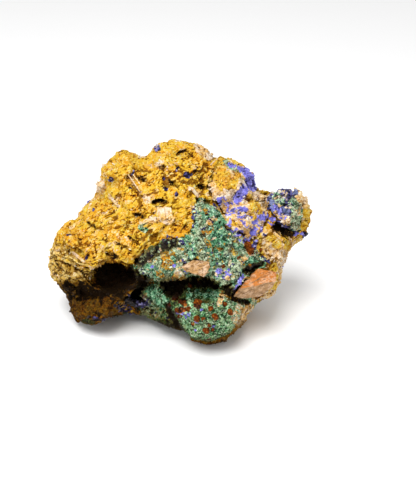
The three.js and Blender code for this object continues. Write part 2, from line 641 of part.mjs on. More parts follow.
// A tuft of malachite crystals on the ledge between the two recesses, drawn out by grow for its socket.
function malachiteTuft(grow = 0) {
  const roll = dice(61);
  const core = onSurface({ a: -15.6, b: -16.0, proud: -1.0, radii: [3.2, 2.6, 3.2], turn: 10 });
  const growths = Array.from({ length: 6 }, (_, i) => {
    const angle = (i / 6) * TURN;
    const radius = 1.3 + 0.6 * roll() + grow;
    return lump({
      a: core.a + 2.6 * Math.cos(angle),
      b: core.b + 2.0 * Math.sin(angle),
      depth: core.depth - 1.6 * roll(),
      radii: [radius, radius, radius],
      rough: 0.3,
      detail: 0,
      seed: i,
    });
  });
  const body = lump({ ...core, radii: core.radii.map((r) => r + grow), detail: 0, rough: 0.2 });
  return union([body, ...growths]);
}

// ---------------------------------------------------------------- assembly

const table = solid(new THREE.BoxGeometry(200, 200, 40).translate(0, 0, -20));
const blockSockets = [orangeBlock, tanBlock].map((corners) => block(corners, SOCKET_GROWTH));
const sockets = [...blockSockets, malachiteTuft(SEAT_GAP)];
const matrix = cut(union([solid(sunkStone()), ...ledges]), [...hollows, ...pits, ...sockets, table]);

const specimen = new THREE.Group();
specimen.add(
  node('limonite_matrix', matrix, 0xc99a3a, 0.95),
  node('malachite_crust', cut(malachiteCrust(), sockets), 0x5fa37c, 0.7),
  node('lobe_malachite_crust', cut(lobeCrust(), sockets), 0x6d9a6a, 0.75),
  node('malachite_tuft', malachiteTuft(), 0x3f9a6c, 0.6),
  node('azurite_crystals', azuriteCrystals(), 0x3a3f96, 0.35),
  node('pale_spar', paleSpar(), 0xd9b9a6, 0.5),
  node('orange_spar_block', block(orangeBlock), 0xc9824f, 0.45),
  node('tan_spar_block', block(tanBlock), 0xc9a184, 0.5),
  node('hollow_druse', hollowDruse(), 0x2b2c57, 0.35),
);

const box = new THREE.Box3().setFromObject(specimen);
const middle = box.getCenter(new THREE.Vector3());
specimen.position.set(-middle.x, -middle.y, -box.min.z);

export default specimen;
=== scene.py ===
# %% [markdown]
# # An azurite and malachite specimen
#
# A lump of ochre limonite, the rusty earthy ore, carries crusts of green malachite, blue azurite crystals
# and pale spar. The solids arrive as a frame with the main forms already right: the lump with its cave, nose
# and foot, the crusts, and two cleaved blocks. What is left is what makes it look like a mineral: broken and
# crumbly surfaces, thousands of grains and crystals, and finishes that change from patch to patch. Each
# solid is copied as a skin of small faces, roughened, painted and then strewn with loose crystals.

# %% Load the frame
import math

import bmesh
import bpy
import numpy as np
from mathutils import Matrix, Vector, noise
from mathutils.bvhtree import BVHTree


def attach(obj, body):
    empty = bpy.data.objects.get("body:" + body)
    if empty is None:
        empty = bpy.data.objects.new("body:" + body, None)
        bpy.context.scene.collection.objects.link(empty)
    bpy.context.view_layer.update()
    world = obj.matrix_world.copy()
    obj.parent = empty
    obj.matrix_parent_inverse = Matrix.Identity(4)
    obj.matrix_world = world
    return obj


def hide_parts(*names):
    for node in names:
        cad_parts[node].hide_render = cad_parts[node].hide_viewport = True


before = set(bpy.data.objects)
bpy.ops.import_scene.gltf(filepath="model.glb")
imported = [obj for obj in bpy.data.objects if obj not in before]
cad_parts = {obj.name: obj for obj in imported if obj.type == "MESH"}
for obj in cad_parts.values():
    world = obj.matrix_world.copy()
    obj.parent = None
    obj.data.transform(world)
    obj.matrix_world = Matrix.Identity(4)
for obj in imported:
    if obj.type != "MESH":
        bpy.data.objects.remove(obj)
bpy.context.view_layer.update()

print("solids:", ", ".join(sorted(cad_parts)))

# %% [markdown]
# ## Places on the display side
#
# Veins, specks and grains are easiest to place with two numbers each, so they are given as (a, b) in
# millimetres on a plane that leans back like the stone's face: a runs right and b runs up. The same plane
# places the camera. Going from a point of the surface back to (a, b) is a short sum with the viewing
# distance, which is done on whole arrays of points at once.

# %% The display plane
MM = 0.001
TILT = math.radians(27)
VIEWING_DISTANCE = 350.0
PLANE_CENTRE = np.array((8.95, 2.74, 26.0))
RIGHT = np.array((1.0, 0.0, 0.0))
UP = np.array((0.0, math.sin(TILT), math.cos(TILT)))
FORWARD = np.array((0.0, math.cos(TILT), -math.sin(TILT)))


def seen_at(points):
    """The places a, b of points on the display plane and their depths behind it, in millimetres."""
    away = points - PLANE_CENTRE
    depth = away @ FORWARD
    spread = 1 + depth / VIEWING_DISTANCE
    return away @ RIGHT / spread, away @ UP / spread, depth


# %% [markdown]
# ## The camera
#
# The camera stands straight in front of the display plane. Its focal length follows from how much of the
# plane's height the view takes in.

# %% Camera
FRAME_HEIGHT = 145.87
SENSOR_HEIGHT = 36.0

lens = bpy.data.cameras.new("camera")
lens.sensor_fit = "VERTICAL"
lens.sensor_height = SENSOR_HEIGHT
lens.lens = SENSOR_HEIGHT * VIEWING_DISTANCE / FRAME_HEIGHT
lens.clip_start = 10 * MM


def in_scene(name, data):
    """A new object in the scene that shows a mesh, a lamp or a lens."""
    made = bpy.data.objects.new(name, data)
    bpy.context.scene.collection.objects.link(made)
    return made


camera = in_scene("camera", lens)
turn = Matrix(np.column_stack((RIGHT, UP, -FORWARD)).tolist()).to_4x4()
camera.matrix_world = Matrix.Translation((PLANE_CENTRE - FORWARD * VIEWING_DISTANCE) * MM) @ turn
bpy.context.scene.camera = camera
bpy.context.scene.view_settings.view_transform = "Standard"
print("focal length in mm:", round(lens.lens, 1))

# %% [markdown]
# ## Meshes as arrays
#
# A rough skin has tens of thousands of points, so they are moved with numpy, not one by one. These helpers
# read and write a mesh's points in millimetres, and keep named values on them for the materials to read.

# %% Reading and writing points


def points_of(piece):
    """A piece's points in millimetres."""
    values = np.empty(len(piece.data.vertices) * 3)
    piece.data.vertices.foreach_get("co", values)
    return values.reshape(-1, 3) / MM


def normals_of(piece):
    """The outward direction at each point of a piece."""
    values = np.empty(len(piece.data.vertices) * 3)
    piece.data.vertices.foreach_get("normal", values)
    return values.reshape(-1, 3)


def move_points(piece, points):
    """Puts a piece's points at places in millimetres, none of them below the table."""
    points[:, 2] = np.maximum(points[:, 2], 0)
    piece.data.vertices.foreach_set("co", (points * MM).ravel())
    piece.data.update()


def keep_values(piece, name, values):
    """Stores one number for each point of a piece under a name that its material reads."""
    layer = piece.data.attributes.new(name, "FLOAT", "POINT")
    layer.data.foreach_set("value", np.clip(values, 0, 1))


# %% [markdown]
# ## An even skin
#
# The solids have large triangles. Subdividing them would keep their long slivers, so a voxel remesh lays an
# even net of small faces over the same shape instead, which can be roughened anywhere. The solid itself
# stays as it is: a copy has its loose triangles merged and is remeshed, and the copy stands in for it.

# %% Dense copies of the solids
MERGE_DISTANCE = 0.001


def dense_copy(node, name, grain):
    """A copy of a solid's surface with faces as small as grain, in millimetres."""
    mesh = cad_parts[node].data.copy()
    merged = bmesh.new()
    merged.from_mesh(mesh)
    bmesh.ops.remove_doubles(merged, verts=merged.verts, dist=MERGE_DISTANCE * MM)
    merged.to_mesh(mesh)
    merged.free()
    piece = in_scene(name, mesh)
    remesh = piece.modifiers.new("even skin", "REMESH")
    remesh.mode = "VOXEL"
    remesh.voxel_size = grain * MM
    evaluated = piece.evaluated_get(bpy.context.evaluated_depsgraph_get())
    piece.data = bpy.data.meshes.new_from_object(evaluated)
    piece.modifiers.clear()
    piece.data.materials.clear()
    print(name, "has", len(piece.data.polygons), "faces")
    return piece


# %% [markdown]
# ## Noise for rock
#
# Rock breaks in three ways that noise can copy. Smooth noise gives swellings. Folded noise, the absolute
# value turned over, gives sharp ridges. And cells, each with its own level and slope, give flat chips with
# grooves between them. All are sampled at the points themselves, so they run on from one piece to the next.
# The limonite also has a grain: its flakes lie along one direction, up to the right, and the beds of the
# nose along another, down to the right.

# %% Noise at points
SEED_STEP = np.array((17.3, -9.1, 5.7))
GRAIN_RISE = math.radians(32)
GRAIN = math.cos(GRAIN_RISE) * RIGHT + math.sin(GRAIN_RISE) * UP
BED_SLANT = math.radians(-34)
BED = math.cos(BED_SLANT) * RIGHT + math.sin(BED_SLANT) * UP


def smoothstep(values, low, high):
    """0 below low, 1 above high and a smooth rise between."""
    share = np.clip((values - low) / (high - low), 0, 1)
    return share * share * (3 - 2 * share)


def drawn_along(points, direction, stretch=2.2):
    """Points drawn together along a direction, so that noise read there comes out stretched along it."""
    return points - np.outer(points @ direction, direction) * (1 - 1 / stretch)


def swell(points, size, seed=0, octaves=3):
    """Smooth noise from about -1 to 1, with features of that size in millimetres."""
    places = points / size + seed * SEED_STEP
    return np.array([noise.fractal(Vector(place), 1.0, 2.0, octaves) for place in places])


def blots(points, size, seed, low, high):
    """Ragged spots of that size, 1 where the noise is above high and 0 where it is below low."""
    return smoothstep(swell(points, size, seed), low, high)


# %% Ridges and chips
CREST_SHARPNESS = 2.2
SLOPE_OF_CHIPS = 2.4
GROOVE_SHARPNESS = 3
SLOPE_KEY = 41.7
LEVEL_KEY = 23.9
MIDDLE = 0.5


def ridges(points, size, seed=0):
    """Sharp crests: 1 on the crests and falling to 0 between them."""
    return 1 - np.minimum(1, CREST_SHARPNESS * np.abs(swell(points, size, seed, 2)))


def chips(points, size, seed=0):
    """Broken cells: heights from about -1 to 1, and how far each point is from its cell's edge, 0 to 1.

    Each cell draws its slope and its level from its centre, which the two keys scatter apart.
    """
    heights = np.empty(len(points))
    edges = np.empty(len(points))
    for i, place in enumerate(points / size + seed * SEED_STEP):
        place = Vector(place)
        distances, centres = noise.voronoi(place)
        slope = noise.cell_vector(centres[0] * SLOPE_KEY) - Vector((MIDDLE, MIDDLE, MIDDLE))
        level = noise.cell(centres[0] * LEVEL_KEY) - MIDDLE
        heights[i] = level + SLOPE_OF_CHIPS * slope.dot(place - centres[0])
        edges[i] = distances[1] - distances[0]
    return heights, np.clip(GROOVE_SHARPNESS * edges, 0, 1)


# %% [markdown]
# ## The map of minerals
#
# Every mineral has a list of marks on the display side: strokes for veins, dots for specks and closed zones
# for crusts. The map gives, for any point, how much of each mineral lies there. The places are first shaken
# by noise, which makes the edges ragged as real crusts are. A mark would reach right through the stone, so
# it fades out past the rim, and the back gets its own scattered patches from noise.

# %% Distances to marks
SHORTEST = 1e-9
STROKE_FADES = (0.5, 1.4)


def to_segment(a, b, start, end):
    """Distances from places to the straight line between two places."""
    along = np.subtract(end, start)
    squared = max(along @ along, SHORTEST)
    share = np.clip(((a - start[0]) * along[0] + (b - start[1]) * along[1]) / squared, 0, 1)
    return np.hypot(a - start[0] - share * along[0], b - start[1] - share * along[1])


def inside_by(zone, a, b):
    """How far inside a closed zone places lie, negative outside."""
    inside = np.zeros(len(a), bool)
    nearest = np.full(len(a), np.inf)
    for start, end in zip(zone, zone[1:] + zone[:1]):
        nearest = np.minimum(nearest, to_segment(a, b, start, end))
        rise = end[1] - start[1]
        if rise:
            crossing = start[0] + (b - start[1]) / rise * (end[0] - start[0])
            inside ^= ((start[1] > b) != (end[1] > b)) & (a < crossing)
    return np.where(inside, nearest, -nearest)


def stroke_cover(strokes, a, b):
    """How much strokes cover places, 0 to 1: each is its half width and the places it runs through."""
    fade_from, fade_to = STROKE_FADES
    covered = np.zeros(len(a))
    for half_width, *places in strokes:
        ends = places[1:] or places
        distance = np.min([to_segment(a, b, start, end) for start, end in zip(places, ends)], axis=0)
        fading = smoothstep(distance, fade_from * half_width, fade_to * half_width)
        covered = np.maximum(covered, 1 - fading)
    return covered


# %% Zones of the crusts
MALACHITE_FACE = [
    (-3.4, 12.9), (0.4, 12.0), (2.6, 9.6), (3.4, 6.6), (6.0, 3.4), (11.0, 0.4), (17.4, -5.4), (14.5, -8.0),
    (10.6, -8.6), (8.8, -12.4), (3.0, -14.4), (0, -12.4), (-13.0, -13.0), (-17.5, -12.1), (-21.6, -9.5),
    (-21.7, -6.6), (-18.7, -3.6), (-12.9, -0.4), (-7.6, 0.9), (-4.5, 3.3), (-4.0, 8.3),
]
LOBE_FACE = [
    (-12.0, -19.3), (-10.0, -16.7), (-1.8, -16.5), (6.0, -17.3), (10.4, -20.1), (8.8, -24.4), (6.4, -27.8),
    (0.8, -30.4), (-4.6, -29.4), (-8.2, -26.2), (-10.0, -22.5),
]
NUB_CRYSTALS = [
    (18.6, 18.0), (27.0, 18.0), (28.4, 14.0), (28.9, 10.1), (29.6, 6.4), (28.4, 5.0), (25.7, 5.0),
    (22.3, 5.8), (20.0, 7.0), (19.2, 9.5), (19.8, 12.5),
]
SHOULDER_SPAR = [
    (3.6, 24.6), (9.7, 22.6), (13.0, 19.2), (13.6, 15.4), (17.6, 14.2), (18.0, 10.8), (18.3, 7.7),
    (16.6, 4.4), (14.6, 1.0), (12.8, 0.4), (9.7, 3.0), (6.2, 6.0), (4.8, 8.6), (3.2, 11.6), (1.0, 14.0),
    (0.2, 17.1), (1.6, 21.0),
]
print("the malachite's zone has", len(MALACHITE_FACE), "corners")

# %% Zones of the hollows, the nose and the foot
UNDER_TUFT = [(-20.5, -19.3), (-9.7, -18.5), (-8.2, -23.5), (-10.5, -27.5), (-15.0, -25.5), (-21.0, -23.0)]
RECESS = [
    (-14.5, -11.6), (-10.9, -10.7), (-2.4, -11.3), (2.1, -11.6), (4.2, -14.6), (3.0, -17.4), (0.0, -14.6),
    (-5.4, -13.7), (-6.6, -17.7), (-11.5, -17.7), (-15.1, -14.6),
]
CAVE = [
    (-33.8, -11.0), (-33.2, -7.4), (-30.2, -5.9), (-26.6, -7.1), (-23.0, -9.8), (-19.6, -11.9),
    (-15.1, -12.8), (-14.5, -15.3), (-17.5, -17.1), (-20.0, -20.0), (-25.0, -19.6), (-31.4, -16.0),
]
CHEEK = [(16.4, 3.8), (24.8, 3.6), (26.0, -1.0), (24.8, -6.5), (18.0, -6.0), (15.8, -2.0)]
NOSE = [(-50, -1), (-45, -0.5), (-40, -5), (-33.5, -9), (-36, -12), (-42, -20), (-50, -14)]
FOOT = [(-47, -12.5), (-36, -11.5), (-28, -15.0), (-20, -15.0), (-18, -20.0), (-24, -26.0), (-44, -28.0)]
TUFT_SHELF = [(-22.0, -13.0), (-13.0, -12.5), (-7.5, -17.0), (-9.5, -20.0), (-16.0, -20.0), (-21.5, -17.0)]
LOBE_EDGE = [
    (-20.0, -23.4), (-14.5, -22.8), (-10.0, -23.8), (-5.0, -29.2), (1.0, -29.9), (6.0, -28.0), (10.0, -24.6),
    (13.0, -24.0), (10.0, -32.0), (0.0, -36.0), (-20.0, -32.0),
]
# painted shade: how dark each zone is painted, browner at first and towards black past about 0.55
SHADED_ZONES = [
    (CAVE, 1.08), (RECESS, 1.05), (FOOT, 0.85), (UNDER_TUFT, 0.44), (TUFT_SHELF, 0.62), (LOBE_EDGE, 0.95),
    (LOBE_FACE, 0.08),
]
print("zones with shade:", len(SHADED_ZONES))

# %% [markdown]
# ## Marks
#
# A mark is its half width and the places it runs through, or one place for a speck. Fine veins could be left
# to noise, but these are what the eye knows the stone by, so each is placed one by one.

# %% Azurite veins and specks
AZURITE_MARKS = [
    (1.1, (-20.0, -5.4), (-16.6, -3.4), (-13.0, -1.2)), (1.3, (-13.0, -0.6), (-11.5, 0.3), (-7.5, -0.9)),
    (1.7, (1.2, 9.8), (1.6, 8.6)), (0.9, (14.5, -0.2), (13.3, -2.0)), (0.7, (-7.7, -4.8), (-6.9, -6.0)),
    (0.8, (1.6, -9.6), (3.0, -10.8)), (0.6, (8.5, -6.4), (9.6, -9.4), (10.0, -12.4)),
    (0.9, (8.2, -14.6), (7.6, -16.0)), (0.9, (16.4, -5.2), (18.0, -5.8)),
    (0.7, (-20.6, -8.2), (-19.6, -9.4)), (2.4, (-22.4, -17.2), (-19.6, -18.4)),
    (1.6, (-26.4, -19.8), (-23.6, -21.0)), (0.8, (-35.6, -23.0), (-31.4, -23.6)),
    (2.2, (21.0, 14.0), (24.4, 13.2)), (1.0, (24.8, 11.6), (25.4, 9.0)), (0.8, (21.6, 5.4), (25.8, 3.6)),
    (0.9, (25.6, 2.6), (29.4, 2.2)), (0.7, (20.2, 9.6), (22.4, 8.8)), (0.8, (-4.2, 10.0), (-4.0, 5.4)),
]
AZURITE_SPECKS = [
    (1.0, (-15.4, 28.2)), (1.2, (-6.3, 20.1)), (0.6, (-9.2, 21.9)), (0.6, (-22.7, 20.8)),
    (0.8, (-12.7, 15.6)), (0.8, (-9.5, 14.0)), (0.6, (-13.4, 18.9)), (0.7, (-29.4, 19.0)),
    (0.5, (-23.3, 16.2)), (0.5, (-34.6, 9.4)), (0.7, (-36.5, -4.7)), (0.5, (-42.0, 2.0)),
    (0.5, (-17.5, -5.8)), (0.5, (-4.6, -2.6)), (0.5, (5.8, -4.2)), (0.5, (6.8, 0.2)), (0.5, (17.4, 2.0)),
    (0.5, (-16.0, -21.5)), (0.5, (-12.4, -23.0)),
]
BLUE_VEINS = [
    (0.6, (6.4, 23.4), (9.4, 22.4), (11.2, 20.8)), (1.3, (11.4, 21.2), (13.0, 18.8), (13.6, 16.4)),
    (1.5, (12.0, 17.6), (10.4, 15.0), (8.8, 12.8)),
]
BLUE_SPECKS = [
    (0.6, (-7.7, -21.6)), (0.55, (-5.7, -22.2)), (0.55, (-3.4, -24.2)), (0.55, (-3.9, -26.7)),
    (0.5, (-6.9, -22.8)), (0.6, (1.8, -25.8)), (0.5, (-9.0, -21.6)), (0.45, (-2.0, -20.6)),
    (0.5, (-16.8, -7.4)), (0.5, (-10.4, -7.4)), (0.5, (-6.8, -9.0)), (0.5, (6.2, -8.4)),
    (0.7, (10.6, -10.4), (9.8, -12.2)), (0.7, (8.8, -13.8), (8.2, -15.2)), (0.5, (2.4, -10.4)),
]
BLUE_STAINS = [
    (1.3, (3.4, -8.8), (5.4, -10.2)), (2.2, (8.6, 10.6), (10.8, 8.0)),
    (2.0, (12.0, 6.4), (15.0, 4.0), (14.2, 2.2)), (1.6, (6.8, 5.2), (9.4, 2.2), (11.4, 0.4)),
    (1.7, (16.2, 7.8), (20.4, 5.8)), (1.6, (20.2, 9.6), (23.0, 7.4)), (0.8, (24.0, 2.0), (28.0, 2.2)),
    (1.5, (4.0, 12.4), (6.4, 9.0)),
]

# %% Malachite, ochre and spar marks
MALACHITE_MARKS = [
    (1.8, (26.0, 11.6), (27.0, 8.6), (26.2, 4.2)), (1.2, (20.6, 13.6), (22.0, 12.0)),
    (1.7, (10.6, -18.0), (13.6, -18.8)),
    (1.7, (5.0, -14.8), (8.4, -13.4), (10.4, -10.0), (12.0, -8.2), (15.6, -7.0)),
    (0.9, (5.4, 24.0), (9.4, 21.2)), (0.7, (-37.7, -24.0), (-34.6, -24.4)),
    (0.7, (-20.6, 4.4), (-18.6, 3.4)), (0.9, (-1.6, 12.6), (-3.0, 10.0)), (1.2, (2.8, 8.6), (4.4, 5.6)),
    (1.1, (14.0, -4.6), (16.4, -7.0)), (1.0, (-22.6, -8.0), (-21.4, -10.4)),
]
OCHRE_MARKS = [
    (1.8, (-12.8, -4.6), (-12.0, -7.2)), (0.9, (-15.2, -9.0), (-14.0, -10.4)),
    (1.2, (14.4, 11.6), (15.6, 8.6)), (1.3, (30.4, 9.4), (29.8, 4.4)), (0.9, (7.2, -2.4), (8.2, -3.6)),
    (1.0, (2.0, 19.6), (4.0, 16.0)), (0.9, (6.4, 6.2), (8.2, 5.0)), (2.2, (3.4, 22.6), (5.6, 17.6)),
    (1.2, (9.0, 20.2), (7.6, 16.8)), (1.1, (12.4, 13.6), (13.8, 9.8)), (0.8, (13.2, 8.2), (14.2, 7.0)),
    (1.2, (19.0, 1.6), (21.0, -1.0)), (0.9, (23.0, 2.4), (24.0, -2.0)),
]
SPAR_MARKS = [
    (1.5, (-8.9, -10.2), (-8.0, -11.4)), (0.45, (-22.4, 17.6), (-20.6, 15.0)),
    (0.9, (-18.9, 13.4), (-18.5, 12.2)), (0.8, (-18.6, 6.0), (-14.6, 6.6), (-12.0, 6.2)),
    (0.7, (-19.9, 5.6), (-16.3, 6.8)), (0.5, (-12.2, 5.4), (-10.4, 6.6)), (2.0, (-2.2, 28.6), (0.4, 26.4)),
    (1.7, (-33.4, 18.4), (-32.6, 16.4)), (1.0, (4.6, -15.6), (3.6, -18.4)),
    (1.6, (21.8, -4.6), (22.6, -9.4), (22.4, -15.0)), (1.2, (14.0, -17.0), (19.6, -15.8)),
    (1.6, (9.6, -20.6), (12.6, -20.2)), (2.2, (9.0, -22.6), (10.6, -25.0)),
    (1.8, (28.6, 13.6), (29.8, 11.2)), (1.4, (21.0, 7.4), (23.6, 6.4)),
    (0.45, (-30.0, 14.0), (-27.0, 10.6)), (0.7, (-5.6, 16.2), (-2.6, 14.4)),
]

# %% Goethite grains, pits and ledges
GOETHITE_GRAINS = [
    (1.35, (-3.2, -18.9)), (0.9, (-8.2, -18.5), (-7.2, -18.7)), (0.8, (-9.4, -20.8), (-6.0, -20.4)),
    (0.9, (-10.0, -17.1)), (0.7, (-9.2, -15.9)), (0.6, (-11.5, -19.3)), (1.0, (-3.4, -23.3)),
    (0.6, (-1.5, -23.3)), (0.6, (-4.4, -24.9)), (1.0, (2.1, -22.6)), (0.9, (6.6, -21.3)),
    (0.8, (0.8, -20.3)), (1.0, (-0.5, -26.8)), (0.6, (1.5, -26.4)), (0.6, (0.3, -25.1)),
    (0.6, (5.1, -19.0)), (0.6, (0.2, -29.4)), (0.7, (-8.7, -22.6)), (1.2, (12.0, -1.2), (12.6, -2.6)),
    (0.7, (4.6, -7.4)), (0.7, (-2.6, -12.6)), (0.7, (-5.4, -13.4)), (0.6, (9.2, -4.8)), (0.6, (15.8, -2.6)),
]
# gaps and pits, cut into the matrix and also painted dark as shade
PITS = [
    (1.7, (-20.8, -5.8), (-17.4, -3.8), (-13.8, -1.6), (-10.6, -0.4)),
    (1.5, (-23.2, -9.0), (-20.8, -11.4), (-17.0, -12.8)),
    (1.0, (-43.0, -13.6), (-38.0, -16.0), (-31.0, -15.6)),
    (1.1, (-12.2, -19.4), (-9.6, -24.4), (-6.4, -28.8)), (0.7, (7.4, -17.4), (11.8, -18.6)),
    (1.6, (5.8, -14.4), (8.0, -16.6)), (1.1, (11.4, -8.8), (15.8, -6.8)),
    (0.5, (-21.4, 19.4), (-18.6, 18.6)), (0.35, (-9.0, 26.8), (-6.8, 27.6)),
    (0.28, (-17.0, 11.9), (-15.0, 12.3), (-12.6, 11.9)), (0.3, (-22.6, 8.4), (-19.4, 7.4)),
    (0.35, (-2.8, 16.9), (0.8, 16.2)), (0.35, (-11.6, 18.2), (-9.2, 16.8)),
    (0.35, (-28.0, -0.4), (-25.0, -2.2)), (0.3, (-36.6, 6.0), (-34.0, 4.4)),
    (0.3, (-5.0, 20.8), (-3.0, 21.6)), (0.3, (-30.4, -3.6), (-27.6, -4.6)),
    (0.3, (-24.2, 1.8), (-22.4, 0.2)), (0.3, (-14.4, 22.6), (-12.2, 23.4)),
    (1.4, (20.8, 4.6), (23.4, 3.0), (25.0, 2.4)),
]
GREEN_TUFT = [(2.4, (-17.0, -14.8), (-13.8, -17.4))]
GREEN_LEDGE = [(2.0, (-5.6, -15.8), (2.4, -16.4))]
BLUE_SHELF = [(2.0, (-23.4, -16.8), (-19.6, -18.2)), (1.5, (-27.0, -19.4), (-23.6, -21.2))]
RICH_GREEN = [
    (2.6, (2.0, 7.6), (3.6, 2.6), (1.8, -2.2)), (1.6, (12.0, -6.0), (17.0, -7.4)),
    (1.4, (-17.6, -8.0), (-14.8, -9.6)),
]
RICH_OCHRE = [
    (3.0, (-40.5, 1.0), (-35.5, -1.6)), (2.0, (-30.0, 2.6), (-26.0, 0.6)),
    (2.0, (-23.6, 19.6), (-20.0, 17.6)), (1.8, (-13.0, 1.4), (-8.6, 3.4)),
    (1.6, (-34.0, 8.6), (-31.0, 10.4)), (1.6, (-3.6, 24.6), (-0.6, 22.6)),
]
print("gaps and pits:", len(PITS))

# %% [markdown]
# ## How much of each mineral lies at points
#
# The map has three layers. One is what shows on the display side, where crusts are never pure, so noise
# strews clots of the other minerals through them. One is what grows on the floors of the hollows, deeper
# than the marks reach. The last scatters patches over the back. Two more values go with it: shade, which
# is painted shade in the hollows, gaps and pits and under the ledges, with a little darkening by rusty
# clots, and rich, for places where a colour is deeper.

# %% The display side
MINERALS = ["azurite", "blue", "malachite", "ochre", "spar", "goethite", "nose"]
WIDE_EDGE = 1.5


def zone_cover(zone, a, b, edge=0.7):
    """How much a zone covers places, 0 to 1, fading over so many millimetres to both sides of its edge."""
    return smoothstep(inside_by(zone, a, b), -edge, edge)


def strongest(*layers):
    """The strongest of several layers at each point."""
    return np.max(layers, axis=0)


def layer_in_view(points, a, b, depth, powder):
    """What lies on the display side, by mineral, and the painted shade there."""
    on_crust = zone_cover(MALACHITE_FACE, a, b, WIDE_EDGE)
    on_lobe = zone_cover(LOBE_FACE, a, b, WIDE_EDGE)
    ochre_marks = stroke_cover(OCHRE_MARKS, a, b)
    rusty_clots = blots(points, 1.9, 21, 0.30, 0.44) * on_crust
    blue_clots = blots(points, 1.7, 22, 0.40, 0.52) * on_crust
    pale_clots = blots(points, 2.0, 23, 0.24, 0.38) * zone_cover(NUB_CRYSTALS, a, b, WIDE_EDGE)
    cream_clots = blots(drawn_along(points, GRAIN), 1.8, 25, 0.30, 0.42)
    tan_clots = blots(points, 3.2, 26, 0.24, 0.40)
    thin_blue = np.maximum(
        stroke_cover(BLUE_VEINS + BLUE_SPECKS, a, b), powder * stroke_cover(BLUE_STAINS, a, b))
    return {
        "azurite": strongest(
            (0.3 + 0.7 * powder) * stroke_cover(AZURITE_MARKS, a, b), stroke_cover(AZURITE_SPECKS, a, b),
            0.9 * blue_clots),
        "blue": thin_blue * (1 - smoothstep(depth, 1.5, 5) * (1 - powder)),
        "malachite": strongest(
            zone_cover(MALACHITE_FACE, a, b), on_lobe, stroke_cover(MALACHITE_MARKS, a, b)),
        "ochre": np.maximum(0.8 * ochre_marks, 0.7 * rusty_clots),
        "spar": (1 - 0.85 * ochre_marks) * strongest(
            0.8 * zone_cover(SHOULDER_SPAR, a, b), 0.66 * zone_cover(CHEEK, a, b),
            stroke_cover(SPAR_MARKS, a, b), 0.9 * pale_clots, 0.66 * cream_clots * on_crust,
            0.52 * tan_clots * (1 - on_crust - on_lobe)),
        "goethite": stroke_cover(GOETHITE_GRAINS, a, b),
        # painted shade in the hollows, pits and gaps and under the ledges, and a little darkening by rusty
        # clots
        "shade": strongest(
            *[strength * zone_cover(zone, a, b, 2.0) for zone, strength in SHADED_ZONES],
            0.98 * stroke_cover(PITS, a, b), 0.3 * rusty_clots),
        "nose": zone_cover(NOSE, a, b, 2.5),
    }


# %% The hollows and the back
LIT_SHARE = 0.85


def layer_in_hollows(points, a, b, powder):
    """Malachite and azurite on the floors of the hollows, and the share of the painted shade that they lift.
    """
    green = strongest(0.9 * zone_cover(UNDER_TUFT, a, b), 0.9 * zone_cover(RECESS, a, b),
                      zone_cover(TUFT_SHELF, a, b), stroke_cover(GREEN_LEDGE, a, b))
    blue = stroke_cover(BLUE_SHELF, a, b)
    lit = np.maximum(stroke_cover(GREEN_TUFT + GREEN_LEDGE, a, b), 0.5 * blue)
    blue_points = stroke_cover(AZURITE_MARKS, a, b) * blots(points, 1.3, 27, 0.05, 0.2)
    return green * (1 - blue), blue * powder, LIT_SHARE * np.maximum(lit, 0.8 * blue_points)


def layer_behind(points):
    """What is scattered over the back, by mineral."""
    patches = swell(points, 11, 5)
    specks = swell(points, 4.5, 6)
    return {
        "azurite": smoothstep(specks + 0.5 * patches, 0.42, 0.6),
        "blue": smoothstep(specks - 0.5 * patches, 0.55, 0.7),
        "malachite": smoothstep(patches - 0.3 * specks, 0.3, 0.48),
        "ochre": np.zeros(len(points)),
        "spar": 0.7 * smoothstep(-patches - 0.2 * specks, 0.28, 0.5),
        "goethite": smoothstep(-specks + 0.3 * patches, 0.45, 0.6),
        "nose": smoothstep(swell(points, 16, 14, 2), 0.0, 0.5),
    }


# %% The whole map
SHAKE = 0.55
VIEW_ENDS = (3.5, 8)
HOLLOWS_END = (16, 24)


def mineral_map(points):
    """How much of each mineral lies at points, 0 to 1, by name, with the values shade, which is painted
    shade, and rich.
    """
    shaken = points + SHAKE * np.column_stack([swell(points, 1.5, seed, 2) for seed in (1, 2, 3)])
    a, b, depth = seen_at(shaken)
    in_view = 1 - smoothstep(depth, *VIEW_ENDS)
    in_hollows = 1 - smoothstep(depth, *HOLLOWS_END)
    powder = blots(points, 1.6, 24, -0.12, 0.10)
    found = layer_in_view(points, a, b, depth, powder)
    behind = layer_behind(points)
    whole = {mineral: in_view * found[mineral] + (1 - in_view) * behind[mineral] for mineral in MINERALS}
    green, blue, lifted = layer_in_hollows(points, a, b, powder)
    whole["malachite"] = np.maximum(whole["malachite"], in_hollows * green)
    whole["azurite"] = np.maximum(whole["azurite"], in_hollows * blue)
    # painted shade, reaching into the hollows and lifted where crystals there stand in the light
    whole["shade"] = in_hollows * found["shade"] * (1 - lifted)
    whole["rich"] = in_hollows * stroke_cover(RICH_GREEN + GREEN_TUFT + GREEN_LEDGE + RICH_OCHRE, a, b)
    return whole


def paint(piece, tone=0.5):
    """Keeps the mineral map and a tone on a piece's points."""
    for mineral, share in mineral_map(points_of(piece)).items():
        keep_values(piece, mineral, share)
    keep_values(piece, "tone", np.broadcast_to(tone, len(piece.data.vertices)))


# %% [markdown]
# ## Sheltered places
#
# The cave and the recesses are painted with shade. Rays cast from each point in a few directions tell how
# many find rock near by, and that share is kept for the materials, which paint such places browner and
# darker as painted shade.

# %% Shelter
REACH_OF_SHELTER = 14.0
LIFT_OFF = 0.8
SPREAD = 1.1
FEELER_TURNS = (0, 1.05, 2.09, 3.14, 4.19, 5.24)
FEELERS = [SPREAD * Vector((math.cos(turn), math.sin(turn), 0)) for turn in FEELER_TURNS]


def whole_specimen():
    """A tree of all the solids' triangles for casting rays."""
    corners = []
    faces = []
    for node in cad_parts.values():
        start = len(corners)
        corners += [vertex.co.copy() for vertex in node.data.vertices]
        faces += [[start + i for i in face.vertices] for face in node.data.polygons]
    return BVHTree.FromPolygons(corners, faces)


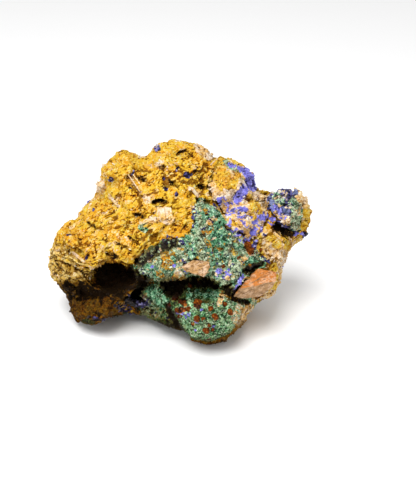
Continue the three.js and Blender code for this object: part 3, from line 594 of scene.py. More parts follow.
def keep_shelter(piece, tree):
    """Keeps how sheltered each point of a piece is, 0 in the open to 1 deep inside."""
    shares = []
    for vertex in piece.data.vertices:
        start = vertex.co + vertex.normal * LIFT_OFF * MM
        directions = [vertex.normal] + [vertex.normal + feeler for feeler in FEELERS]
        hits = [tree.ray_cast(start, way.normalized(), REACH_OF_SHELTER * MM)[0] for way in directions]
        shares.append(sum(hit is not None for hit in hits) / len(hits))
    keep_values(piece, "shelter", np.array(shares))


specimen_tree = whole_specimen()
print("rays feel for rock up to", REACH_OF_SHELTER, "mm away")

# %% [markdown]
# ## Shader maths
#
# A material's colour comes from sums of noises and masks. Written as nodes, that takes many lines, so one
# small class wraps a socket: adding or multiplying wires makes the Math nodes, and add makes any other.

# %% A wire
# The Mix node has a set of sockets for each kind of value. These are its factor and those for colours.
MIX_FACTOR, MIX_FIRST, MIX_SECOND, MIX_RESULT = 0, 6, 7, 2


class Wire:
    """One output socket in a material. Sums and products of wires make Math nodes."""

    def __init__(self, tree, socket=None):
        self.tree = tree
        self.socket = socket

    def add(self, kind, settings=None, sockets=None, output=0):
        """A node with its settings made first, then its sockets given values or wires."""
        made = self.tree.nodes.new(kind)
        for name, value in (settings or {}).items():
            if name == "stops":
                self.set_stops(made.color_ramp.elements, value)
            else:
                setattr(made, name, value)
        for name, value in (sockets or {}).items():
            if isinstance(value, Wire):
                self.tree.links.new(value.socket, made.inputs[name])
            else:
                made.inputs[name].default_value = value
        return Wire(self.tree, made.outputs[output] if len(made.outputs) else None)

    @staticmethod
    def set_stops(elements, stops):
        """Gives a colour ramp its stops: a place and a colour each."""
        while len(elements) < len(stops):
            elements.new(1.0)
        for element, (place, color) in zip(elements, stops):
            element.position = place
            element.color = (*color, 1.0)

    def math(self, operation, *values):
        """A Math node on numbers or wires."""
        return self.add("ShaderNodeMath", {"operation": operation}, dict(enumerate(values)))

    def __add__(self, other):
        return self.math("ADD", self, other)

    def __sub__(self, other):
        return self.math("SUBTRACT", self, other)

    def __rsub__(self, other):
        return self.math("SUBTRACT", other, self)

    def __mul__(self, other):
        return self.math("MULTIPLY", self, other)

    __radd__ = __add__
    __rmul__ = __mul__

    def __abs__(self):
        return self.math("ABSOLUTE", self)

    def smooth(self, low, high):
        """0 below low, 1 above high and a smooth rise between."""
        sockets = {"Value": self, "From Min": low, "From Max": high}
        return self.add("ShaderNodeMapRange", {"interpolation_type": "SMOOTHSTEP"}, sockets)

    def mix(self, first, second, blend="MIX"):
        """The first colour where this wire is 0 and the second, or their product, where it is 1."""
        settings = {"data_type": "RGBA", "blend_type": blend}
        sockets = {MIX_FACTOR: self, MIX_FIRST: first, MIX_SECOND: second}
        return self.add("ShaderNodeMix", settings, sockets, output=MIX_RESULT)

    def ramp(self, stops):
        """A colour read from stops of this wire's value."""
        return self.add("ShaderNodeValToRGB", {"stops": stops}, {"Fac": self})


# %% Patterns that finishes share


class Patterns:
    """The patterns of one material, all on Object coordinates."""

    def __init__(self, tree):
        self.start = Wire(tree)
        self.place = self.start.add("ShaderNodeTexCoord", output="Object")

    def kept(self, name):
        """A value that was kept on the piece's points."""
        return self.start.add("ShaderNodeAttribute", {"attribute_name": name}, output="Fac")

    def noise_at(self, place, size, detail, roughness):
        """Noise read at a place, with features of that size in millimetres, around 0.5."""
        sockets = {"Vector": place, "Scale": 1 / (size * MM), "Detail": detail, "Roughness": roughness}
        return self.start.add("ShaderNodeTexNoise", {}, sockets)

    def cloud(self, size, detail=2.0, roughness=0.6):
        """Noise that is alike in all directions."""
        return self.noise_at(self.place, size, detail, roughness)

    def grains(self, size):
        """The random tone of packed grains of that size in millimetres."""
        sockets = {"Vector": self.place, "Scale": 1 / (size * MM)}
        cell = self.start.add("ShaderNodeTexVoronoi", {}, sockets, output="Color")
        return self.start.add("ShaderNodeSeparateColor", {}, {"Color": cell})

    def streaks(self, size, slant, stretch=4.0, detail=3.0):
        """Noise drawn out along one direction, which slant turns."""
        turns = {"Vector": self.place, "Rotation": slant, "Scale": (1, 1, stretch)}
        turned = self.start.add("ShaderNodeMapping", {"vector_type": "TEXTURE"}, turns)
        return self.noise_at(turned, size, detail, 0.75)

    def threads(self, size, slant, stretch=2.0, width=0.07):
        """Thin wandering lines, 1 along their middles, broken off here and there."""
        line = 1 - abs(self.streaks(size, slant, stretch, 2.0) - 0.5).smooth(0, width)
        return line * self.cloud(1.6 * size, 2).smooth(0.42, 0.56)


# %% [markdown]
# ## Colours of the minerals
#
# Each mineral's colour runs along a ramp from its pits to its points: the kept relief darkens pits and
# cracks and brightens crests, which is painted shade and painted highlight on top of the stone's own darker
# crevices. Limonite goes from dark brown through ochre to straw, malachite from near black green to a pale
# grey green, azurite from navy to a violet blue, and spar from tan to cream with white streaks. What moves
# along the ramp is the mixture of the kept relief, a random tone for each grain, fine noise, and threads:
# thin dark cracks and thin pale flakes.
# Two ramps are mixed in clouds, one of them deeper, because no patch of ore is even.

# %% Limonite
GRAIN_TURN = Vector(GRAIN).to_track_quat("Z", "Y").to_euler()
BED_TURN = Vector(BED).to_track_quat("Z", "Y").to_euler()


def flaky_value(patterns, turn, stretch):
    """A value around 0.55 for limonite, with flakes, dark cracks and straw threads along one direction."""
    return (0.24 * patterns.kept("relief") + 0.44 * patterns.streaks(0.8, turn, stretch, 4.0)
            + 0.28 * patterns.cloud(0.5, 2, 0.8) + 0.12 * patterns.kept("tone")
            - 0.31 * patterns.threads(1.3, turn, stretch)
            + 0.19 * patterns.threads(1.0, turn, 1.2 * stretch))


def limonite_color(patterns):
    """Ochre, from dark brown cracks to straw flakes, duller and greyer on the bedded nose."""
    value = flaky_value(patterns, GRAIN_TURN, 2.2)
    gold = value.ramp([
        (0.24, (0.030, 0.009, 0.0004)), (0.34, (0.36, 0.145, 0.004)), (0.44, (0.57, 0.305, 0.011)),
        (0.56, (0.60, 0.385, 0.033)), (0.68, (0.58, 0.475, 0.115)), (0.82, (0.62, 0.62, 0.36)),
    ])
    rust = value.ramp([
        (0.24, (0.024, 0.007, 0.0004)), (0.35, (0.34, 0.112, 0.003)), (0.48, (0.58, 0.255, 0.008)),
        (0.62, (0.61, 0.385, 0.045)), (0.80, (0.64, 0.57, 0.31)),
    ])
    bedded = flaky_value(patterns, BED_TURN, 3.2) - 0.22 * patterns.threads(1.9, BED_TURN, 4.0, 0.1)
    clay = bedded.ramp([
        (0.29, (0.014, 0.005, 0.0008)), (0.38, (0.25, 0.128, 0.016)), (0.47, (0.60, 0.385, 0.092)),
        (0.59, (0.67, 0.51, 0.190)), (0.78, (0.70, 0.66, 0.42)),
    ])
    color = (patterns.cloud(3.2, 3) + 0.16 * patterns.kept("rich")).smooth(0.44, 0.60).mix(gold, rust)
    return (patterns.kept("nose") * patterns.cloud(2.4, 2).smooth(0.3, 0.6)).mix(color, clay)


# %% Malachite


def crystal_value(patterns):
    """A value around 0.49 for malachite, from the gaps between crystals to their pale faces."""
    return (0.28 * patterns.kept("relief") + 0.42 * patterns.cloud(0.9, 3, 0.75)
            + 0.22 * patterns.grains(0.5) + 0.12 * patterns.cloud(2.2) + 0.12 * patterns.kept("tone")
            - 0.18 * patterns.threads(0.8, (0.4, 0.2, 0.9)) + 0.22 * patterns.threads(0.8, (0.9, 0.5, 0.1))
            - 0.08)


def malachite_color(patterns):
    """Green, from nearly black gaps to pale crystal faces, with some richer green."""
    value = crystal_value(patterns)
    grey = value.ramp([
        (0.30, (0.008, 0.012, 0.005)), (0.38, (0.066, 0.090, 0.042)), (0.47, (0.215, 0.262, 0.138)),
        (0.58, (0.385, 0.460, 0.285)), (0.75, (0.63, 0.72, 0.54)),
    ])
    rich = value.ramp([
        (0.30, (0.003, 0.014, 0.007)), (0.39, (0.019, 0.095, 0.042)), (0.50, (0.078, 0.245, 0.120)),
        (0.61, (0.21, 0.43, 0.255)), (0.76, (0.60, 0.77, 0.58)),
    ])
    return (patterns.cloud(2.8, 3) + 0.2 * patterns.kept("rich")).smooth(0.46, 0.60).mix(grey, rich)


def lobe_color(patterns):
    """The lower lobe's yellower and finer green."""
    value = crystal_value(patterns)
    grey = value.ramp([
        (0.35, (0.008, 0.009, 0.002)), (0.42, (0.046, 0.078, 0.021)), (0.49, (0.110, 0.200, 0.068)),
        (0.58, (0.245, 0.42, 0.185)), (0.69, (0.60, 0.77, 0.50)),
    ])
    rich = value.ramp([
        (0.35, (0.004, 0.012, 0.003)), (0.42, (0.018, 0.092, 0.026)), (0.51, (0.060, 0.240, 0.082)),
        (0.61, (0.185, 0.46, 0.215)), (0.72, (0.62, 0.82, 0.57)),
    ])
    return patterns.cloud(2.0, 3).smooth(0.44, 0.58).mix(grey, rich)


# %% Azurite


def azurite_color(patterns):
    """Blue, from black navy to pale violet faces."""
    value = (0.25 * patterns.kept("relief") + 0.40 * patterns.cloud(0.7, 3, 0.75)
             + 0.20 * patterns.grains(0.5) + 0.30 * patterns.kept("tone") - 0.14)
    return value.ramp([
        (0.28, (0.004, 0.003, 0.010)), (0.40, (0.018, 0.015, 0.050)), (0.52, (0.055, 0.047, 0.17)),
        (0.62, (0.13, 0.12, 0.40)), (0.72, (0.30, 0.29, 0.52)), (0.84, (0.64, 0.62, 0.70)),
    ])


def powdery_color(patterns):
    """Azurite crystals dulled by a greyish blue and green powder."""
    value = 0.2 * patterns.kept("relief") + 0.6 * patterns.cloud(0.8, 3, 0.8) + 0.2 * patterns.kept("tone")
    powder = value.ramp([
        (0.30, (0.018, 0.020, 0.060)), (0.42, (0.090, 0.112, 0.230)), (0.54, (0.20, 0.235, 0.42)),
        (0.66, (0.40, 0.44, 0.57)), (0.80, (0.72, 0.70, 0.70)),
    ])
    return patterns.cloud(1.7, 3).smooth(0.42, 0.56).mix(azurite_color(patterns), powder)


def blue_color(patterns):
    """The powdery violet blue of thin azurite veins."""
    value = 0.3 * patterns.kept("relief") + 0.7 * patterns.cloud(0.9, 3, 0.75)
    return value.ramp([
        (0.34, (0.075, 0.067, 0.220)), (0.45, (0.140, 0.130, 0.46)), (0.56, (0.20, 0.187, 0.66)),
        (0.70, (0.42, 0.40, 0.76)),
    ])


# %% Spar and goethite


def spar_color(patterns):
    """Tan to cream, with white and rusty threads."""
    swirl = (0.5, 0.7, 0.2)
    value = (0.20 * patterns.kept("relief") + 0.40 * patterns.streaks(0.9, swirl, 3.0)
             + 0.26 * patterns.cloud(0.7, 3, 0.8) + 0.10 * patterns.kept("tone")
             - 0.20 * patterns.threads(1.2, (0.3, 0.9, 0.4)) + 0.20 * patterns.threads(1.1, swirl, 3.0)
             + 0.03)
    pale = value.ramp([
        (0.28, (0.110, 0.062, 0.036)), (0.37, (0.47, 0.305, 0.180)), (0.47, (0.63, 0.46, 0.295)),
        (0.59, (0.67, 0.57, 0.43)), (0.76, (0.75, 0.75, 0.70)),
    ])
    rusty = value.ramp([
        (0.28, (0.085, 0.034, 0.010)), (0.38, (0.49, 0.240, 0.055)), (0.51, (0.66, 0.40, 0.120)),
        (0.65, (0.70, 0.56, 0.30)), (0.80, (0.76, 0.73, 0.60)),
    ])
    return patterns.cloud(2.2, 3).smooth(0.42, 0.56).mix(pale, rusty)


def goethite_color(patterns):
    """Orange brown grains."""
    value = 0.4 * patterns.kept("relief") + 0.6 * patterns.cloud(0.6, 3, 0.7)
    return value.ramp([
        (0.36, (0.008, 0.002, 0.0003)), (0.50, (0.118, 0.024, 0.001)), (0.64, (0.38, 0.115, 0.008)),
    ])


COLORS = {
    "malachite": malachite_color, "spar": spar_color, "ochre": limonite_color, "azurite": azurite_color,
    "blue": blue_color, "goethite": goethite_color,
}
print("mineral colours:", ", ".join(COLORS))

# %% [markdown]
# ## A mineral finish
#
# Every finish starts from the ground mineral of its piece and lays the others over it where the map puts
# them, so a vein runs across a crack from one piece to the next. Fine noise frays the edges of each patch.
# Painted shade is laid on in two steps: a little tints the colour darker and browner, more turns it black.
# Glints come from roughness that drops on some grains, and the bump gives relief finer than the mesh has.

# %% Laying a finish on a surface


def new_finish(name):
    """A new material and the patterns to paint it with."""
    material = bpy.data.materials.new(name)
    material.use_nodes = True
    return material, Patterns(material.node_tree)


def lay_on(material, patterns, color, rough, height, bump, depth, gloss):
    """Gives a material its colour, its roughness, the bump of a height in millimetres, and its gloss."""
    surface = material.node_tree.nodes["Principled BSDF"]
    sockets = {"Strength": bump, "Distance": depth * MM, "Height": height}
    relief = patterns.start.add("ShaderNodeBump", {}, sockets)
    surface.inputs["Specular IOR Level"].default_value = gloss
    for socket, wire in (("Base Color", color), ("Roughness", rough), ("Normal", relief)):
        material.node_tree.links.new(wire.socket, surface.inputs[socket])
    return material


# %% Building a finish
# painted shade: a brown tint for light shade and near black for deep shade
PAINTED_SHADE_TINT = (0.34, 0.24, 0.09, 1.0)
PAINTED_SHADOW_BLACK = (0.006, 0.0025, 0.0004, 1.0)
DARKEST = 0.98
PATCH_EDGE = (0.42, 0.60)
SHELTERED = (0.4, 1.0)
GLINTING = (0.72, 0.85)
BUMP_DEPTH = 0.6


def mineral_finish(name, ground, roughness, glint, gloss, over, bump=0.65):
    """A material with one mineral's colour as its ground and the others over it as the map says."""
    material, patterns = new_finish(name)
    fray = patterns.cloud(0.9, 4, 0.85) - 0.5
    color = ground(patterns)
    for mineral in over:
        cover = (patterns.kept(mineral) + fray).smooth(*PATCH_EDGE)
        color = cover.mix(color, COLORS[mineral](patterns))
    # painted shade from the map, from the ray shelter and from noise, first tinting brown, then turning
    # black
    shade = patterns.kept("shade") + 0.6 * patterns.kept("shelter").smooth(*SHELTERED) + 1.1 * fray
    color = shade.smooth(0.05, 0.60).mix(color, PAINTED_SHADE_TINT, "MULTIPLY")
    color = (DARKEST * shade.smooth(0.55, 1.05)).mix(color, PAINTED_SHADOW_BLACK)
    rough = roughness - glint * patterns.grains(0.6).smooth(*GLINTING)
    height = 0.7 * patterns.cloud(0.55, 4, 0.75) + 0.3 * patterns.cloud(1.4, 2)
    return lay_on(material, patterns, color, rough, height, bump, BUMP_DEPTH, gloss)


# %% Finishes of the minerals
finishes = {
    "limonite": mineral_finish(
        "limonite", limonite_color, roughness=0.95, glint=0.4, gloss=0.08,
        over=("malachite", "spar", "azurite", "blue", "goethite")),
    "malachite": mineral_finish(
        "malachite", malachite_color, roughness=0.7, glint=0.4, gloss=0.2,
        over=("spar", "ochre", "azurite", "blue", "goethite")),
    "speckled_malachite": mineral_finish(
        "speckled malachite", lobe_color, roughness=0.75, glint=0.4, gloss=0.2,
        over=("spar", "ochre", "azurite", "blue", "goethite"), bump=0.75),
    "azurite": mineral_finish(
        "azurite", azurite_color, roughness=0.5, glint=0.3, gloss=0.3, over=("malachite", "spar", "blue")),
    "powdery_azurite": mineral_finish(
        "powdery azurite", powdery_color, roughness=0.6, glint=0.35, gloss=0.25,
        over=("malachite", "spar", "azurite", "blue")),
    "pale_spar": mineral_finish(
        "pale spar", spar_color, roughness=0.7, glint=0.35, gloss=0.2,
        over=("malachite", "ochre", "azurite", "blue", "goethite")),
    "goethite": mineral_finish("goethite", goethite_color, roughness=0.6, glint=0.2, gloss=0.08, over=()),
}
print("finishes:", ", ".join(finishes))

# %% [markdown]
# ## The finish of a cleaved block
#
# The blocks are single crystals of spar stained by iron. Their faces are smooth with fine parallel streaks.
# The faces that look up are painted a clear orange or pink tan with paler rims, and the others duller, which
# is painted light from above and painted shade below. Where a face looks comes from the Geometry node's
# normal, which belongs to the surface and not to the camera.

# %% Block finishes
LAYER_RISE = math.radians(24)
LAYERS = math.cos(LAYER_RISE) * RIGHT + math.sin(LAYER_RISE) * UP
LAYER_TURN = Vector(LAYERS).to_track_quat("Z", "Y").to_euler()
RUST_STAIN = (0.085, 0.036, 0.010, 1)


def cleaved_finish(name, lit_upper, lower, rim, stain):
    """A block's material: lit and shaded colours painted on faces that look up and down, its rims, and how
    stained it is.
    """
    material, patterns = new_finish(name)
    # painted light and shade: faces that look up get the lit colour and paler rims, faces that look down the
    # shaded one
    normal = patterns.start.add("ShaderNodeNewGeometry", output="Normal")
    lift = patterns.start.add("ShaderNodeSeparateXYZ", {}, {"Vector": normal}, output="Z")
    lift = (lift + 0.4 * (patterns.cloud(1.6) - 0.5)).smooth(0.35, 0.7)
    lines = patterns.streaks(0.5, LAYER_TURN, 7.0, 4.0)
    color = lift.mix(lower, lit_upper)
    pale = patterns.cloud(1.8, 3) + 0.5 * (lines - 0.5) - 0.16 * patterns.kept("relief")
    color = (pale.smooth(0.40, 0.54) * (0.45 + 0.1 * lift)).mix(color, rim)
    cracks = patterns.threads(1.0, LAYER_TURN, 6.0, 0.05)
    dull = stain * patterns.cloud(1.1, 4, 0.8).smooth(0.50, 0.62) + 0.65 * cracks
    color = dull.mix(color, RUST_STAIN)
    rough = 0.5 + 0.3 * patterns.cloud(0.8, 3)
    height = 0.6 * lines + 0.4 * patterns.cloud(0.6, 3)
    return lay_on(material, patterns, color, rough, height, bump=0.4, depth=0.4, gloss=0.25)


orange_finish = cleaved_finish(
    "orange spar", lit_upper=(0.45, 0.145, 0.020, 1), lower=(0.29, 0.165, 0.075, 1), rim=(0.60, 0.40, 0.26, 1),
    stain=0.5)
tan_finish = cleaved_finish(
    "tan spar", lit_upper=(0.40, 0.22, 0.080, 1), lower=(0.30, 0.15, 0.05, 1), rim=(0.64, 0.49, 0.36, 1),
    stain=0.8)
print("block finishes:", orange_finish.name, "and", tan_finish.name)

# %% [markdown]
# ## Dressing a solid
#
# Dressing takes a solid through the same steps each time: an even skin, a relief along the normals, the
# mineral map, the shelter, and the finish. Only the relief differs, so it is handed in as a function of the
# points, which gives a height for each and its share from pits to points.

# %% Dress


def dress(node, name, grain, height_at, finish):
    """A roughened and painted stand-in for a solid."""
    piece = dense_copy(node, name, grain)
    points = points_of(piece)
    height, relief = height_at(points)
    move_points(piece, points + normals_of(piece) * height[:, None])
    # the relief and the shelter, which the finishes turn into painted shade in pits and hollows and painted
    # highlight on crests
    keep_values(piece, "relief", relief)
    paint(piece)
    keep_shelter(piece, specimen_tree)
    piece.data.materials.append(finish)
    piece.data.shade_smooth()
    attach(piece, "root")
    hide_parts(node)
    return piece


# %% [markdown]
# ## The limonite matrix
#
# Limonite is earthy ore without crystals of its own. It breaks into chips and crumbles into clots a
# millimetre or two across, and on the nose it lies in thin beds. The relief adds large chips, small chips
# with grooves between them, clots and ridges. Cracks and pits open as real gaps, because paint alone would
# look flat, and a few low bulges fill out the rim. The solids leave a shallow trench round each crust, where
# the bed was sunk to take it, and the relief fills that trench again so that crust and matrix meet.

# %% Trenches round the crusts
CRUST_START = 0.62
TRENCH_EDGE = (-2.0, 0.8)
CRUST_BEDS = [
    # zone of the crust, how deep its bed is sunk and how far back it reaches, in millimetres
    (MALACHITE_FACE, 2.0, 2), (LOBE_FACE, 1.8, -3), (NUB_CRYSTALS, 2.0, 1), (SHOULDER_SPAR, 1.8, 2),
]


def bed_filling(points):
    """How far the trench round each crust is raised."""
    a, b, depth = seen_at(points)
    filling = np.zeros(len(points))
    for zone, sunk_by, reaches_to in CRUST_BEDS:
        in_front = 1 - smoothstep(depth, reaches_to - 2, reaches_to + 2)
        cover = smoothstep(inside_by(zone, a, b), *TRENCH_EDGE) * in_front
        filling = np.maximum(filling, sunk_by * np.where(cover < CRUST_START, cover, 0))
    return filling


# %% Beds on the nose
BED_THICKNESS = 1.7
BED_DIP = 0.35
BED_WAVE = 0.9
SEAM = (0.72, 1.0)


def beds(points):
    """Thin beds on the nose, from -1 in the seams to 0 on the beds."""
    a, b, depth = seen_at(points)
    across = b * math.cos(BED_SLANT) - a * math.sin(BED_SLANT) + BED_DIP * depth
    across += BED_WAVE * swell(points, 6, 9, 2)
    to_seam = np.abs(((across / BED_THICKNESS) % 1) - 0.5) * 2
    return -smoothstep(to_seam, *SEAM) * smoothstep(inside_by(NOSE, a, b), -3, 1)


# %% Relief of the matrix
# The skin is set back by CRUMB_ROOM, which the crumbs strewn on it fill again. A bulge has its rise, its
# reach and its middle, in millimetres.
MATRIX_GRAIN = 0.445
CRUMB_ROOM = 0.25
GAP_DEPTH = 1.1
GAPS_END = (8, 14)
LARGE_CHIPS = 4.6
SMALL_CHIPS = 1.0
CLOTS = 0.9
BULGES = [
    (1.5, 3.6, (-25.6, 26.6)), (1.0, 3.0, (-31.0, 21.6)), (0.9, 3.2, (-13.4, 28.8)),
    (0.8, 3.6, (-37.6, 12.0)), (0.9, 3.6, (-42.6, 4.6)), (1.0, 3.6, (-38.0, -23.4)),
    (0.8, 3.0, (-28.0, -22.6)), (0.8, 3.0, (25.4, -3.6)),
]


def bulge(a, b, rise, reach, middle):
    """A low round swelling: how high it rises, how far it reaches, and its middle."""
    return rise * np.exp(-((a - middle[0]) ** 2 + (b - middle[1]) ** 2) / reach**2)


def matrix_height(points):
    """The matrix's relief in millimetres, and its share from pits to points, 0 to 1."""
    a, b, depth = seen_at(points)
    on_nose = inside_by(NOSE, a, b) > 0.5 * swell(points, 2, 15)
    flaky = np.where(on_nose[:, None], drawn_along(points, BED, 3.0), drawn_along(points, GRAIN))
    large, large_edges = chips(points, LARGE_CHIPS, 1)
    small, small_edges = chips(flaky, SMALL_CHIPS, 2)
    clots = swell(flaky, CLOTS, 4)
    fine = 0.22 * small - 0.24 * (1 - small_edges) + 0.28 * clots + 0.14 * ridges(flaky, 1.5, 3)
    height = 0.28 * large - 0.20 * (1 - large_edges) + fine + 1.2 * beds(points)
    cracks = 0.45 * (1 - small_edges) ** 2 + 0.25 * (1 - large_edges) ** 2
    gaps = GAP_DEPTH * stroke_cover(PITS, a, b) * (1 - smoothstep(depth, *GAPS_END))
    for rise, reach, middle in BULGES:
        height += bulge(a, b, rise, reach, middle)
    height = height + bed_filling(points) - gaps - CRUMB_ROOM
    return height, 0.72 + 0.34 * fine - cracks + 0.9 * beds(points)


matrix = dress(
    "limonite_matrix", "limonite_lump", MATRIX_GRAIN, matrix_height, finishes["limonite"])

# %% [markdown]
# ## The malachite crusts
#
# Malachite grows here as a crust of tiny crystals in rounded clumps, and azurite and spar in coarser ones.
# The relief is small chips on swellings. Each crust is grown by the width of its seat, so that it meets its
# bed. The lower lobe's crust is finer and flatter, the tuft coarser.

# %% Crusts
SEAT = 0.35
SWELLINGS = 3.2
CRUSTS = [
    # node, piece, size of the skin's faces, size of the clumps and how they stand in mm, finish, slot
    ("malachite_crust", "malachite_face", 0.28, 1.3, 0.36, "malachite", "malachite"),
    ("lobe_malachite_crust", "lobe_face", 0.26, 1.0, 0.24, "speckled_malachite", "speckled_malachite"),
    ("malachite_tuft", "green_tuft", 0.22, 1.1, 0.34, "malachite", "malachite"),
    ("azurite_crystals", "nub_azurite", 0.22, 1.5, 0.2, "powdery_azurite", "azurite"),
    ("pale_spar", "shoulder_spar", 0.26, 2.0, 0.28, "pale_spar", "pale_spar"),
    ("hollow_druse", "dark_druse", 0.2, 1.0, 0.25, "azurite", "azurite"),
]


def crust_height(clump, strength):
    """A relief function for a crust: the size of its clumps and how strong they stand, in millimetres."""
    def height_at(points):
        small, edges = chips(points, clump, 7)
        clots = swell(points, 0.9 * clump, 8)
        broad = swell(points, SWELLINGS, 9, 2)
        fine = small - 0.8 * (1 - edges) + 0.8 * clots
        return SEAT + strength * (fine + 1.2 * broad), 0.55 + 0.30 * fine + 0.25 * broad
    return height_at


crusts = {}
for node, name, grain, clump, strength, finish, slot in CRUSTS:
    crusts[name] = dress(node, name, grain, crust_height(clump, strength), finishes[finish])

# %% [markdown]
# ## The cleaved blocks
#
# Spar splits along flat planes, so the two blocks keep their flat faces and sharp edges. A fine skin follows
# the solid closely, and the relief only adds low steps where thin layers have come away.

# %% Blocks
BLOCK_GRAIN = 0.18
BLOCK_SEAT = 0.1
LAYER_STEP = 1.2


def cleaved_height(points):
    """Low steps of thin layers, and the share of pits and points."""
    steps, edges = chips(drawn_along(points, LAYERS, 3.0), LAYER_STEP, 12)
    fine = 0.12 * steps - 0.07 * (1 - edges) + 0.10 * swell(points, 0.8, 13)
    return BLOCK_SEAT + fine, 0.55 + 1.1 * fine


dress("orange_spar_block", "orange_block", BLOCK_GRAIN, cleaved_height, orange_finish)
dress("tan_spar_block", "tan_block", BLOCK_GRAIN, cleaved_height, tan_finish)

# %% [markdown]
# ## Strewn grains and crystals
#
# Up close the stone is all grains: crumbs of limonite, needles and prisms of malachite, blades of azurite
# and flakes of spar, most of them under a millimetre. Each kind has a few small shapes made with bmesh.
# Thousands of copies are placed by arrays into one mesh for each kind, because an instance would be lost in
# an export. The map says which kind grows where.

# %% Shapes of grains


def shape_arrays(shape):
    """The corners and triangles of a bmesh as arrays."""
    bmesh.ops.triangulate(shape, faces=shape.faces[:])
    bmesh.ops.recalc_face_normals(shape, faces=shape.faces[:])
    corners = np.array([vertex.co[:] for vertex in shape.verts])
    faces = np.array([[vertex.index for vertex in face.verts] for face in shape.faces])
    shape.free()
    return corners, faces


def crumb(rng):
    """An angular chip about 1 across."""
    shape = bmesh.new()
    bmesh.ops.create_cube(shape, size=0.8)
    stretch = rng.uniform(0.7, 1.1, 3) * (0.75, 1.45, 0.5)
    for vertex in shape.verts:
        vertex.co = Vector(np.array(vertex.co) * stretch * rng.uniform(0.6, 1.25, 3))
    return shape_arrays(shape)


def prism(rng, sides=5, width=0.45, tip=0.45):
    """A crystal 1 long with flat sides and a narrower, slanting tip."""
    shape = bmesh.new()
    bmesh.ops.create_cone(
        shape, cap_ends=True, segments=sides, radius1=width / 2, radius2=width * tip / 2, depth=1)
    for vertex in shape.verts:
        if vertex.co.z > 0:
            vertex.co.z += rng.uniform(-0.2, 0.1)
        vertex.co.x *= rng.uniform(0.9, 1.1)
    return shape_arrays(shape)


def flake(rng, width=0.8, thickness=0.22):
    """A thin slanting tile about 1 long, as spar and azurite split."""
    shape = bmesh.new()
    bmesh.ops.create_cube(shape, size=1.0)
    slant = rng.uniform(-0.35, 0.35, 2)
    for vertex in shape.verts:
        x, y, z = vertex.co
        vertex.co = (width * (x + slant[0] * z), thickness * y, z + slant[1] * x)
    return shape_arrays(shape)


# %% Spots for grains


def surface_spots(piece, per_area, rng):
    """Random places on a piece, so many to a square millimetre, with the outward directions there."""
    piece.data.calc_loop_triangles()
    corners = np.empty(len(piece.data.loop_triangles) * 3, np.int32)
    piece.data.loop_triangles.foreach_get("vertices", corners)
    triangles = points_of(piece)[corners.reshape(-1, 3)]
    sides = triangles[:, 1:] - triangles[:, :1]
    outward = np.cross(sides[:, 0], sides[:, 1])
    doubled = np.linalg.norm(outward, axis=1)
    count = int(per_area * doubled.sum() / 2)
    chosen = rng.choice(len(doubled), count, p=doubled / doubled.sum())
    shares = rng.random((count, 2))
    shares = np.where(shares.sum(axis=1, keepdims=True) > 1, 1 - shares, shares)
    places = triangles[chosen, 0] + np.einsum("nk,nkj->nj", shares, sides[chosen])
    return places, outward[chosen] / doubled[chosen, None]


# %% Where grains grow
LOOK_FROM = 0.5
CLEAR_WAY = 1.6
OVER_TABLE = 0.8
SHADE_THINS = 0.75


def in_the_open(places, outward):
    """Which places aren't buried under the next piece or down at the table."""
    clear = []
    for place, way in zip(places, outward):
        start = Vector(place * MM) + Vector(way) * LOOK_FROM * MM
        clear.append(specimen_tree.ray_cast(start, Vector(way), CLEAR_WAY * MM)[0] is None)
    return np.array(clear) & (places[:, 2] > OVER_TABLE)


def grown_spots(hosts, per_area, share_at, rng):
    """Spots on the host pieces where share_at(map) lets grains grow: places, ways out and the map there."""
    spots = [surface_spots(host, per_area, rng) for host in hosts]
    places, outward = (np.concatenate(arrays) for arrays in zip(*spots))
    found = mineral_map(places)
    shares = share_at(found) * (1 - SHADE_THINS * found["shade"])
    kept = (rng.random(len(places)) < shares) & in_the_open(places, outward)
    return places[kept], outward[kept], {mineral: share[kept] for mineral, share in found.items()}


# %% Copies of the shapes


def turned(outward, lean, drift, rng):
    """Side, front and axis for each grain: it leans off the surface, and drift turns it along the grain."""
    axis = outward + lean * rng.uniform(-1, 1, outward.shape)
    axis /= np.linalg.norm(axis, axis=1, keepdims=True)
    side = np.cross(axis, rng.normal(size=outward.shape) + drift * GRAIN)
    side /= np.linalg.norm(side, axis=1, keepdims=True)
    return np.stack([side, np.cross(axis, side), axis], axis=2)


def copies(shapes, which, frames, lengths, middles):
    """Copies of the shapes: their corners, faces, the grain that owns each corner, and how high it sits."""
    corners, faces, owners, heights = [], [], [], []
    count = 0
    for kind, (points, triangles) in enumerate(shapes):
        mine = np.nonzero(which == kind)[0]
        placed = np.einsum("nij,vj->nvi", frames[mine], points) * lengths[mine, None, None]
        starts = count + np.arange(len(mine)) * len(points)
        count += len(mine) * len(points)
        corners.append((placed + middles[mine, None]).reshape(-1, 3))
        faces.append((starts[:, None, None] + triangles).reshape(-1, 3))
        owners.append(np.repeat(mine, len(points)))
        heights.append(np.tile(points[:, 2], len(mine)))
    return [np.concatenate(arrays) for arrays in (corners, faces, owners, heights)]


# %% Strewing
SHADED_FOOT_RELIEF = 0.58
RELIEF_RISE = 0.6


